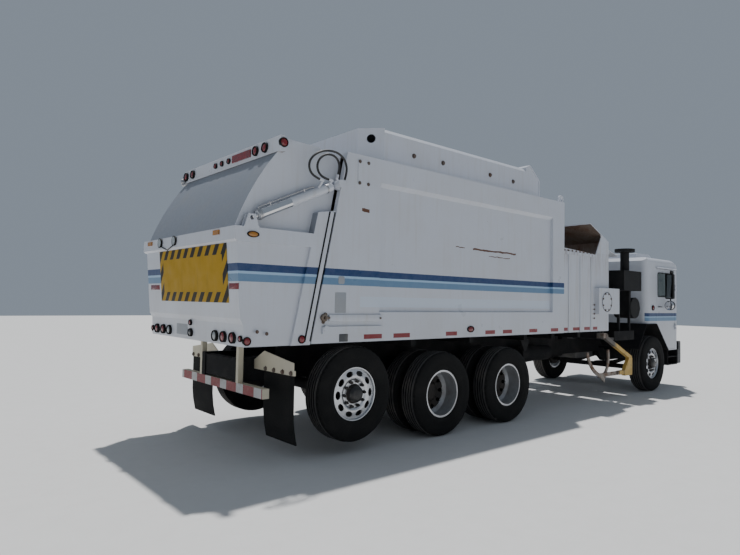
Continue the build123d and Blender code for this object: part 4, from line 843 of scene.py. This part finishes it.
dome = turned([(0.0, 1.0), (-0.10, 0.93), (-0.20, 0.72), (-0.27, 0.42), (-0.30, 0)], 28)
grommet = turned([(0.5, 0.97), (-0.22, 0.97), (-0.30, 1.02), (-0.30, 1.10), (-0.18, 1.18),
                  (0.5, 1.20), (0.5, 0.97)], 28)
by_lens = {}
for y, z, r, lens, face_x in TAIL_LAMPS:
    depth, bulge = (19, 0.15) if face_x == LEDGE_FACE else (14, 1)
    front = facing_at(face_x - depth, y, z, (-1, 0, 0)) @ grown(r / 1000, bulge * r / 1000, r / 1000)
    by_lens.setdefault(lens, []).append(front)
for lens, places in by_lens.items():
    settle(repeat(dome, places), "tail_" + lens.name, "tailgate", lens, 50)
rings = sum(by_lens.values(), [])
settle(repeat(grommet, rings), "lamp_grommets", "tailgate", black_rubber, 40)
print("lamps", len(rings))

# %% [markdown]
# Side marker lamps. They are the same two shapes at other sizes, on the walls of the body, the
# tailgate and the cab, so the masters above are copied again.

# %% Side markers
MARKERS = {
    # name: body, lens, then x, y, z, radius and stretch along x of each lamp
    "tailgate": ("tailgate", red_lens, (
        (-2733, 1190, 1264, 36, 1.0), (-2129, 1220, 1268, 36, 1.0), (-2378, 1190, 3252, 42, 1.0))),
    "chassis": ("chassis", red_lens, ((544, 1220, 1322, 36, 1.6), (6235, 1170, 1632, 44, 1.0))),
    "amber": ("tailgate", amber_lens, ((-2712, 1220, 2290, 26, 2.1),)),
}
for name, (body, lens, markers) in MARKERS.items():
    fronts = [facing_at(x, side * (y + 6), z, (0, side, 0)) @ grown(wide * r / 1000, r / 1000, r / 1000)
              for x, y, z, r, wide in markers for side, _ in SIDES]
    settle(repeat(dome, fronts), f"side_markers_{name}", body, lens, 50)
    settle(repeat(grommet, fronts), f"marker_rims_{name}", body, black_rubber, 40)
    print("side markers", name, len(fronts))
discard(dome, grommet)

# %% [markdown]
# The lift cylinders' hoses. Each barrel has two, of stiff black rubber, and they loop up beside the
# body before they come back to it. Their steel ends are part of the barrel's solid. A hose is one
# smooth curve: a NURBS spline along the loop's control points, with a round bevel.

# %% Hoses
HOSE_LOOPS = {
    # y, real length, x and z of the loop's control points
    "outer": (1278, 1.001, (
        (-1988, 2925), (-2066, 2945), (-2120, 3003), (-2124, 3084), (-2079, 3152), (-2010, 3203),
        (-1926, 3237), (-1836, 3250), (-1748, 3240), (-1672, 3196), (-1634, 3120), (-1636, 3036),
        (-1662, 2960))),
    "inner": (1250, 0.739, (
        (-1850, 2945), (-1924, 2955), (-1984, 2998), (-2006, 3066), (-1984, 3136), (-1930, 3190),
        (-1855, 3218), (-1777, 3211), (-1722, 3160), (-1708, 3086), (-1730, 3014))),
}
hose_rubber = plain_finish("hose_rubber", (0.016, 0.016, 0.017), 0.5, amount=0.2, grain=220, depth=0.3)


def round_curve(name, points, radius, closed=False, smooth=False, sides=3, steps=6):
    """A curve with a round section along the points, straight between them or smooth."""
    curve = bpy.data.curves.new(name, "CURVE")
    curve.dimensions = "3D"
    curve.bevel_depth = radius
    curve.bevel_resolution = sides
    curve.use_fill_caps = not closed
    spline = curve.splines.new("NURBS" if smooth else "POLY")
    spline.points.add(len(points) - 1)
    for point, place in zip(spline.points, points):
        point.co = (*place, 1)
    if smooth:
        spline.order_u = 3
        spline.use_endpoint_u = True
        spline.resolution_u = steps
    spline.use_cyclic_u = closed
    return new_object(name, curve)


for which, (y, length, loop) in HOSE_LOOPS.items():
    for side, hand in SIDES:
        route = [at(x, side * y, z) for x, z in loop]
        hose = round_curve(f"lift_hose_{which}_{hand}", route, 0.012, smooth=True, sides=4, steps=8)
        hose.data.materials.append(hose_rubber)
        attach(hose, f"barrel_{hand}")
        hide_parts(f"hose_{which}_{hand}")
print("hoses", 2 * len(HOSE_LOOPS))

# %% [markdown]
# Some solids need more than one finish. The inside of a refuse body is bare, rusty steel, and hub,
# grille and step are black. The plate across the back of the tailgate is a darker grey-blue and the
# cab's faces that look back and down are black, both painted shade. A face of a node is handed to
# another slot by its place and the way it faces, which leaves the node's shape alone.

# %% Zones of a second finish
# Painted shade: a darker grey-blue with mottled dust, for the shade on the tailgate's upper rear face.
painted_shade_sheet = plain_finish("painted_shade_grey_sheet", (0.27, 0.295, 0.34), 0.5, 0.25, amount=0.22, grain=25)
cab_trim = plain_finish("cab_trim", (0.10, 0.10, 0.105), 0.8, amount=0.15, grain=200, depth=0.4)

strip = Finish("bumper_tape", (0.46, 0.46, 0.45), 0.4)
lengths = strip.math("FRACT", strip.math("ADD", strip.times(strip.axes()[1], 2.6), 0.15))
strip.over(strip.math("LESS_THAN", lengths, 0.6), TAPE_RED)
scuffs = strip.noise(14, 5)
strip.stain(scuffs, 0.50, 0.72, (0.30, 0.27, 0.22), 0.4)
strip.rough_from(scuffs, 0.3, 0.6)
strip.bump(strip.noise(260, 1), 0.2, 0.001)
bumper_tape = strip.done()


def zone(node_name, finish, test):
    """Hands the faces of a node that pass the test to another finish."""
    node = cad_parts[node_name]
    node.data.materials.append(finish)
    chosen = [face for face in node.data.polygons if test(face.center, face.normal)]
    for face in chosen:
        face.material_index = len(node.data.materials) - 1
    print(node_name, finish.name, len(chosen), "faces")


def inside_box(c, n, half, low, high):
    """A face that looks inwards, as on the inside of a bin."""
    inward_side = abs(c.y) < half and n.y * c.y < -0.3 * abs(c.y) and abs(n.y) > 0.5
    floor_face, roof_face = n.z > 0 and c.z < low + 0.05, n.z < 0 and c.z > high - 0.12
    level = abs(n.z) > 0.5 and abs(c.y) < half and (floor_face or roof_face)
    return low < c.z < high and (inward_side or level)


# %% Zones of the hopper, the body and the tailgate
HOPPER_BACK, HOPPER_WALL, HOPPER_FRONT = station(2862), station(4380), station(4399)


def hopper_inside(c, n):
    front_wall = n.x < -0.7 and abs(c.y) < 1.17 and c.x > HOPPER_WALL
    under_brow = n.z < -0.3 and c.z > 2.75
    inside = inside_box(c, n, 1.172, 1.2165, 3.06) or front_wall or under_brow
    return HOPPER_BACK < c.x < HOPPER_FRONT and inside


def tailgate_inside(c, n):
    return inside_box(c, n, 1.16, 1.21, 3.2) or (n.x > 0.3 and abs(c.y) < 1.1 and c.z < 3.1)


zone("hopper", bare_steel, hopper_inside)
zone("body_shell", bare_steel, lambda c, n: inside_box(c, n, 1.168, 1.2165, 3.28))
zone("tailgate_shell", bare_steel, tailgate_inside)
# Painted shade: the tailgate's upper rear face takes the darker grey-blue.
zone("tailgate_shell", painted_shade_sheet, lambda c, n: 2.362 < c.z < 3.164 and n.x < -0.35 and abs(c.y) < 1.2)
zone("rear_bumper", bumper_tape, lambda c, n: n.x < -0.9 and 0.655 < c.z < 0.765)

# %% Zones of the cab and the drive wheels
CAB_BACK, CAB_FRONT, GRILLE_FACE = station(6020), station(7490), station(7491)


def cab_inside(c, n):
    within = CAB_BACK < c.x < CAB_FRONT - 0.03 and abs(c.y) < 1.13 and 0.80 < c.z < 2.60
    middle = Vector(((CAB_BACK + CAB_FRONT) / 2, 0, 1.7))
    return within and (c - middle).dot(n) < 0


def cab_black_and_painted_shade(c, n):
    grille = c.x > GRILLE_FACE and abs(c.y) < 0.63 and 0.99 < c.z < 1.44
    step = c.z < 0.764 and abs(c.y) > 0.6
    # Painted shade: faces that look back and down are painted black to stand for the shade that falls on
    # them.
    rear_slope_painted_shade = n.x < -0.6 and n.z < -0.5
    return grille or step or rear_slope_painted_shade


zone("cab_shell", cab_trim, cab_inside)
zone("cab_shell", black_plastic, cab_black_and_painted_shade)
for axle in ("drive1", "drive2"):
    x, out, z, _ = AXLES[axle]
    for side, hand in SIDES:
        m = at(x, side * (out - DUAL_PITCH / 2), z)

        def behind_the_rim(c, n):
            return (c.y - m.y) * side < -0.02 or math.hypot(c.x - m.x, c.z - m.z) < 0.225

        zone(f"wheel_{axle}_{hand}", hub_dark, behind_the_rim)
        zone(f"wheel_{axle}_{hand}", polished, lambda c, n: (c.y - m.y) * side > 0.26)

# %% [markdown]
# Bolts. One bolt head on its washer is turned once and copied to every place where the photo shows
# one: the cover plate's corners, the hood's edge, the hopper's rim, the pod's round cover and the
# plates that carry the mud flaps. The table gives the place, the direction and the size, by body.

# %% Bolts
KERB = (0, -1, 0)
BOLTS = {"chassis": [], "tailgate": []}


def on_cover(turn, reach):
    """X, Y and Z of a point on the pod's round cover, in millimetres."""
    return 4173 + reach * math.cos(turn), -1270, 1724 + reach * math.sin(turn)


for side, _ in SIDES:
    out = (0, side, 0)
    BOLTS["chassis"] += [(x, side * 1228, z, out, 1.0) for x in (-1408, -1282) for z in (2980, 3221)]
    hood_edge = ((-240, 3552), (316, 3557), (1345, 3557), (1916, 3545))
    BOLTS["chassis"] += [(x, side * 900, z, out, 1.6) for x, z in hood_edge]
    BOLTS["chassis"] += [(-2218, side * y, 925, (-1, 0, 0), 1.3) for y in (680, 850, 1020, 1180)]
    BOLTS["tailgate"] += [(x, side * 1220, z, out, 0.9) for x, z in ((-2640, 1355), (-2534.4, 1334.1))]
BOLTS["chassis"] += [(*on_cover(math.tau * (n + 0.5) / 8, 150), KERB, 0.9) for n in range(8)]
BOLTS["chassis"] += [(x, -1180, 2549, KERB, 1.0) for x in range(2930, 3900, 120)]
for z in (1634, 1481):
    for dx, dz in ((-38, -38), (-38, 38), (38, -38), (38, 38)):
        BOLTS["chassis"].append((3869 + 0.75 * dx, -1180, z + dz, KERB, 0.8))

bolt = turned([(0.001, 0.022), (-0.003, 0.022), (-0.0032, 0.0165), (-0.012, 0.0165), (-0.0145, 0.013),
               (-0.0145, 0)], 6)
bolt_steel = plain_finish("bolt_steel", (0.16, 0.13, 0.11), 0.5, 0.6,
                          dust=(0.14, 0.06, 0.03), amount=0.6)
for body, places in BOLTS.items():
    spots = [facing_at(x, y, z, way) @ grown(size, size, size) for x, y, z, way, size in places]
    settle(repeat(bolt, spots), f"bolts_{body}", body, bolt_steel, 30)
    print("bolts", body, len(places))
discard(bolt)

# %% [markdown]
# Small plates. Each is a sheet with its corners rounded: a cube stretched to size, its four short
# edges bevelled, and its outer face inset so that the rim catches the light. All plates stay blank.

# %% Plates


def sheet_plate(centre, size, direction, corner, thick=0.002):
    """A thin plate; size is across and up, direction is the way its face looks, along X or Y."""
    plate = block((size[0], thick, size[1]))
    bpy.context.tool_settings.mesh_select_mode = (False, True, False)
    bpy.ops.object.mode_set(mode="EDIT")
    bpy.ops.mesh.select_all(action="DESELECT")
    bpy.ops.object.mode_set(mode="OBJECT")
    for edge in plate.data.edges:
        a, b = (plate.data.vertices[v].co for v in edge.vertices)
        edge.select = abs((a - b).y) > thick / 2
    bpy.ops.object.mode_set(mode="EDIT")
    bpy.ops.mesh.bevel(offset=corner, segments=3)
    bpy.ops.object.mode_set(mode="OBJECT")
    inset_faces(plate, lambda c, n: n.y < -0.9, 0.004, 0.0005)
    plate.data.transform(Matrix.Translation(centre) @ facing(direction))
    return plate


lock_steel = plain_finish("lock_steel", (0.20, 0.17, 0.14), 0.55, 0.5,
                          dust=(0.20, 0.10, 0.05), amount=0.7, grain=50)
label_grey = plain_finish("label_grey", (0.34, 0.36, 0.39), 0.5, 0.2, grain=40)
plate_dark = plain_finish("plate_dark", (0.085, 0.09, 0.095), 0.45, 0.5, amount=0.4, grain=40)
REAR = (-1, 0, 0)
REFLECTOR_Z = 1.790
reflector_x = tailgate_face(REFLECTOR_Z) - 0.001
foot = at(foot_face(1330) - 1, 250, 1330)
PLATES = (
    # name, body, middle, width and height, the way it faces, corner, finish
    ("blank_label", "chassis", at(-1638, -1221, 1647), (0.150, 0.220), KERB, 0.008, label_grey),
    ("blank_badge", "chassis", at(-1630, -1221, 1890), (0.085, 0.085), KERB, 0.02, label_grey),
    ("dark_plate", "chassis", at(-1588, -1221, 1268), (0.120, 0.085), KERB, 0.008, plate_dark),
    ("blank_rear_plate", "tailgate", foot, (0.305, 0.155), REAR, 0.008, label_grey),
    ("rear_reflector_left", "tailgate", (reflector_x, 0.955, REFLECTOR_Z), (0.29, 0.062), REAR, 0.003,
     red_lens),
    ("rear_reflector_right", "tailgate", (reflector_x, -1.098, REFLECTOR_Z), (0.20, 0.062), REAR, 0.003,
     red_lens),
)
for name, body, middle, size, way, corner, finish in PLATES:
    settle(sheet_plate(middle, size, way, corner), name, body, finish)
print("plates", len(PLATES))

# %% [markdown]
# Pipes, rubbers and bars. They are all round sections along a line, so one helper draws the line as a
# curve with a bevel and converts it to a mesh. The lower half of each lift cylinder is plated, with
# steel rings at its ends and a steel pipe along it.

# %% Lines with a round section


def line_piece(points, radius, closed=False, smooth=False):
    """A mesh bar with a round section along the points, all in metres."""
    pick(round_curve("line", points, radius, closed, smooth))
    bpy.ops.object.convert(target="MESH")
    return bpy.context.view_layer.objects.active


def trim_block(x, y, z, edge=0.012):
    """A box from ranges in millimetres with bevelled edges, as the shelf and the seat boxes."""
    box = block([(b - a) / 1000 for a, b in (x, y, z)], at(sum(x) / 2, sum(y) / 2, sum(z) / 2))
    bevel_all(edge, 2)
    return box


def loop_points(corners, cut, place):
    """Rounds a rectangle of (along, up) corners by three points a corner, and places them."""
    points = []
    for i, corner in enumerate(corners):
        here = Vector(corner)
        ends = (Vector(corners[j % len(corners)]) for j in (i - 1, i + 1))
        before, after = (here + (end - here).normalized() * cut for end in ends)
        points += [before, here + ((before + after) / 2 - here) * 0.6, after]
    return [place(*point) for point in points]


# %% Lift cylinders
CYL_Y = 1180
CYL_TOP, CYL_FOOT = Vector((-1700, 2920)), Vector((-2726, 2450))
CYL_WAY = (CYL_FOOT - CYL_TOP).normalized()
steel_pipe = plain_finish("steel_pipe", (0.50, 0.50, 0.51), 0.3, 0.9, amount=0.2)


def beside_barrel(along, off, y):
    """A point along the lift cylinder's line, off it on its upper side."""
    x, z = CYL_TOP + CYL_WAY * along + Vector((CYL_WAY.y, -CYL_WAY.x)) * off
    return at(x, y, z)


def sleeve(along, half, inner, outer, steps, y):
    """A ring round the barrel, its middle at a distance along it."""
    ring = turned([(-half, inner), (-half, outer), (half, outer), (half, inner)], steps)
    way = beside_barrel(1, 0, y) - beside_barrel(0, 0, y)
    turn = Vector((0, 1, 0)).rotation_difference(way).to_matrix().to_4x4()
    ring.data.transform(Matrix.Translation(beside_barrel(along, 0, y)) @ turn)
    return ring


PIPE = ((300, 52), (300, 68), (315, 70), (600, 70), (900, 70), (985, 70), (1000, 68), (1000, 50))
RINGS = ((1010, 0.056), (1030, 0.0535), (150, 0.0535))
for side, hand in SIDES:
    y = side * CYL_Y
    pipe = line_piece([beside_barrel(s, off, y) for s, off in PIPE], 0.008)
    clamps = [line_piece([beside_barrel(s, 49, y), beside_barrel(s, 81, y)], 0.011) for s in (420, 860)]
    rings = [sleeve(s, 0.010, 0.047, outer, 28, y) for s, outer in RINGS]
    plated = sleeve(818, 0.182, 0.0494, 0.0508, 64, y)
    settle(plated, f"barrel_plating_{hand}", f"barrel_{hand}", rod_chrome, 40)
    settle(joined([pipe, *clamps, *rings]), f"barrel_pipe_{hand}", f"barrel_{hand}", steel_pipe)
print("barrel", round((CYL_FOOT - CYL_TOP).length), "mm between pins")

# %% [markdown]
# Doors. Each has rubber round its window, a bar for a handle and two mirrors, a tall flat one and a
# round one below it that bulges.

# %% Window rubbers, handles and mirrors
WINDOW = ((6465, 1860), (6465, 2345), (7200, 2345), (7200, 1860))
HANDLE = ((6480, 1168), (6480, 1195), (6500, 1203), (6590, 1203), (6610, 1195), (6610, 1168))
HANDLE_Z, MIRROR_Y = 1655, 1312
for side, hand in SIDES:
    door = f"door_{hand}"
    seal = line_piece(loop_points(WINDOW, 38, lambda x, z: at(x, side * 1171, z)), 0.009, closed=True)
    settle(seal, f"window_rubber_{hand}", door, black_rubber)
    grip = line_piece([at(x, side * y, HANDLE_Z) for x, y in HANDLE], 0.009)
    settle(grip, f"door_handle_{hand}", door, cap_plastic)
    # The tall pane wears the darkened mirror, a painted dark reflection.
    tall = sheet_plate(at(6658.5, side * MIRROR_Y, 2069), (0.128, 0.470), REAR, 0.02, 0.003)
    settle(tall, f"mirror_pane_{hand}", door, mirror_painted_dark_reflection)
    bowl = turned([(0.0, 0.088), (-0.004, 0.084), (-0.010, 0.055), (-0.012, 0.02), (-0.0125, 0)], 36)
    bowl.data.transform(facing_at(6680, side * MIRROR_Y, 1686, REAR))
    settle(bowl, f"round_mirror_pane_{hand}", door, rod_chrome, 60)
print("doors", len(SIDES))

# %% [markdown]
# The front. The screen leans back, and its rubber and wipers follow that lean, so a helper gives the
# points in front of the glass. Five amber lamps stand on the brow of the roof, and each headlamp has
# a black rim.

# %% Screen and front lamps
SCREEN = ((-1040, 1560), (-1040, 2440), (1040, 2440), (1040, 1560))
FRONT = (1, 0, 0)


def before_screen(y, z, off):
    """A point in front of the leaning screen."""
    return at(7490 - (z - 1500) * 100 / 1025 + off, y, z)


seal = line_piece(loop_points(SCREEN, 60, lambda y, z: before_screen(y, z, 1)), 0.011, closed=True)
settle(seal, "screen_rubber", "chassis", black_rubber)
wipers = []
for y in (-140, 560):
    arm = ((y, 1525, -4), (y, 1525, 18), (y - 160, 1750, 14), (y - 330, 2010, 4))
    blade = ((y - 290, 1780, -8), (y - 370, 2240, -8))
    wipers.append(line_piece([before_screen(*point) for point in arm], 0.007))
    wipers.append(line_piece([before_screen(*point) for point in blade], 0.008))
settle(joined(wipers), "wipers", "chassis", black_plastic)
brow = turned([(0.030, 0.034), (-0.002, 0.034), (-0.014, 0.030), (-0.020, 0.016), (-0.021, 0)], 24)
spots = [facing_at(7392, y, 2560, FRONT) for y in (-640, -160, 0, 160, 640)]
settle(repeat(brow, spots), "brow_lamps", "chassis", amber_lens, 50)
rim = turned([(0.004, 0.084), (-0.004, 0.084), (-0.006, 0.090), (-0.003, 0.104), (0.004, 0.106)], 40)
rims = [facing_at(7594, side * 930, 700, FRONT) for side, _ in SIDES]
settle(repeat(rim, rims), "headlamp_rims", "chassis", black_plastic, 50)
discard(brow, rim)
print("front lamps", len(spots) + len(rims))

# %% [markdown]
# Lines behind the cab. The photo shows a bundle of black hydraulic lines between the hopper and the
# cab. They are clamped at both ends, so they are fixed pipework. The work lamps' wiring, their rings
# and the lamp at the tailgate's upper corner follow, with the gasket of the pod's round cover.

# %% Hydraulic lines
bundle = []
for n in range(4):
    y = -900 + 60 * n
    line = ((4402, y, 2250 - 60 * n), (4520, y, 2260 - 60 * n), (4640 + 20 * n, y - 20, 2150),
            (4700, y - 30, 1850), (4720 + 15 * n, y - 20, 1500), (4740, y, 1250), (4760, y, 1046))
    bundle.append(line_piece([at(*point) for point in line], 0.016, smooth=True))
settle(joined(bundle), "hydraulic_lines", "chassis", hose_rubber, 60)
print("hydraulic lines", len(bundle))

# %% Work lamps, corner lamp and cover gasket
loom, stands = [], []
for y, bend in ((645, 470), (222, 390)):
    wire = ((-2901, y, 2300), (-2908, y, 2268), (-2906, bend, 2225), (-2899, 434, 2214))
    loom.append(line_piece([at(*point) for point in wire], 0.006, smooth=True))
    stand = turned([(0.012, 0.047), (0.012, 0.053), (-0.008, 0.054), (-0.010, 0.049),
                    (-0.008, 0.047)], 32)
    stand.data.transform(facing_at(-2912, y, 2308, REAR))
    stands.append(stand)
settle(joined(loom), "work_lamp_wiring", "tailgate", hose_rubber, 60)
settle(joined(stands), "work_lamp_rings", "tailgate", black_plastic)

corner = turned([(0.0, 0), (0.0, 0.030), (-0.020, 0.046), (-0.052, 0.050), (-0.056, 0.046),
                 (-0.050, 0.030), (-0.048, 0)], 32)
corner.data.transform(facing_at(-2404, 1160, 3190, (-0.75, 0.6, -0.2)))
arm = line_piece([at(-2372, 1112, 3200), at(-2385, 1140, 3200), at(-2404, 1160, 3190)], 0.010)
settle(joined([corner, arm]), "corner_lamp", "tailgate", steel_pipe)

gasket = [at(*on_cover(math.tau * n / 32, 166)) for n in range(32)]
settle(line_piece(gasket, 0.0045, closed=True), "cover_gasket", "chassis", black_rubber)
print("work lamps", len(stands))

# %% [markdown]
# The tailgate's seam and lock. A flat white bar runs down the tailgate's edge beside the seam, with
# black rubber along both sides of it. Low on the body a lock lies along the side: a guide bar, and
# at its end an eye and a pin, rusty where they rub.

# %% Seam bars and locks
SEAM_SLOPE = 0.21
SEAM_LEAN = math.atan(SEAM_SLOPE)
SEAM_LOW, SEAM_HIGH = 1245, 2610
WALL_Y = 1220
LOCK_RINGS = (
    # x, z, radius and how far it stands out
    (-1862, 1486, 0.040, 0.034), (-1840, 1520, 0.020, 0.020), (-1866, 1440, 0.018, 0.018),
)


def seam_at(z, behind, y):
    """A point behind the seam by some millimetres, at a height in millimetres."""
    return at(-1574 - (3300 - z) * SEAM_SLOPE - behind, y, z)


for side, hand in SIDES:
    length = (SEAM_HIGH - SEAM_LOW) / 1000 / math.cos(SEAM_LEAN)
    bar = sheet_plate((0, 0, 0), (0.046, length), (0, side, 0), 0.004, 0.010)
    middle = seam_at((SEAM_LOW + SEAM_HIGH) / 2, 56, side * 1223)
    bar.data.transform(Matrix.Translation(middle) @ Matrix.Rotation(SEAM_LEAN, 4, "Y"))
    settle(bar, f"seam_bar_{hand}", "tailgate", plain_white)
    rubber = [line_piece([seam_at(z, behind, side * 1223) for z in (SEAM_LOW, SEAM_HIGH)], 0.0085)
              for behind in (24, 86)]
    settle(joined(rubber), f"seam_rubber_{hand}", "tailgate", black_rubber)
    guide = trim_block((-1797, -1058), sorted((side * 1219, side * 1243)), (1444, 1520), 0.009)
    settle(guide, f"lock_guide_{hand}", "chassis", plain_white)
    parts = []
    for x, z, r, reach in LOCK_RINGS:
        bore = r * 0.45
        eye = turned([(0, bore), (0, r), (reach - 0.004, r), (reach, r * 0.9), (reach, bore),
                      (0, bore)], 24)
        eye.data.transform(Matrix.Translation(at(x, side * WALL_Y, z)) @ side_turn(side))
        parts.append(eye)
    parts.append(line_piece([at(-1862, side * 1236, 1486), at(-1790, side * 1236, 1484)], 0.014))
    parts.append(line_piece([at(x, side * 1246, 1478) for x in (-1090, -1072)], 0.012))
    settle(joined(parts), f"lock_eye_{hand}", "chassis", lock_steel, 40)
print("locks", len(SIDES))

# %% [markdown]
# Seats. The solids hold their places as plain blocks. Each cushion is a soft piece of its own: a
# block with rounded edges is remeshed into even faces, then blown up a little as cloth with pressure
# and no gravity, which crowns it and pulls its sides in between the corners. The cloth settles the
# same way each run, and how far a point may move is capped so the cushion stays in its solid.

# %% Seat cushions
SEAT_CAP = 0.014
CLOTH_STEPS = 15
SEATS = {
    # size along, across and up, middle, lean in degrees
    "seat_cushion": ((0.500, 0.480, 0.100), (6460, 620, 1581), 0.0),
    "seat_back": ((0.095, 0.450, 0.560), (6214, 620, 1948), -6.65),
}


def blown_block(size):
    """A rounded block, crowned by a short cloth simulation whose result is applied."""
    cushion = block(size)
    bevel_all(0.028, 3)
    remesh = cushion.modifiers.new("even_faces", "REMESH")
    remesh.mode = "VOXEL"
    remesh.voxel_size = 0.014
    bpy.ops.object.modifier_apply(modifier="even_faces")
    rest = [v.co.copy() for v in cushion.data.vertices]
    cloth = cushion.modifiers.new("puff", "CLOTH")
    cloth.settings.use_pressure = True
    cloth.settings.uniform_pressure_force = 4.0
    cloth.settings.effector_weights.gravity = 0.0
    for step in range(1, CLOTH_STEPS + 1):
        bpy.context.scene.frame_set(step)
    bpy.ops.object.modifier_apply(modifier="puff")
    bpy.context.scene.frame_set(1)
    for vertex, start in zip(cushion.data.vertices, rest):
        moved = vertex.co - start
        if moved.length > SEAT_CAP:
            vertex.co = start + moved * (SEAT_CAP / moved.length)
    smooth = cushion.modifiers.new("smooth", "SUBSURF")
    smooth.levels = smooth.render_levels = 1
    bpy.ops.object.modifier_apply(modifier="smooth")
    return cushion


for name, (size, (x, y, z), lean_back) in SEATS.items():
    master = blown_block(size)
    lean = Matrix.Rotation(math.radians(lean_back), 4, "Y")
    for side, hand in SIDES:
        cushion = repeat(master, [Matrix.Translation(at(x, side * y, z)) @ lean])
        settle(cushion, f"{name}_{hand}", "chassis", seat_fabric, 60, ["cab_seats"])
        print(cushion.name, [round(v, 3) for v in cushion.dimensions])
    discard(master)

# %% Seat platform
platform = [trim_block((6022, 6700), (-900, 900), (1362, 1400))]
platform += [trim_block((6390, 6680), (y - 225, y + 225), (1396, 1522)) for y in (-620, 620)]
settle(joined(platform), "seat_platform", "chassis", cab_trim, 30, ["cab_seats"])
print("platform", len(platform), "blocks")
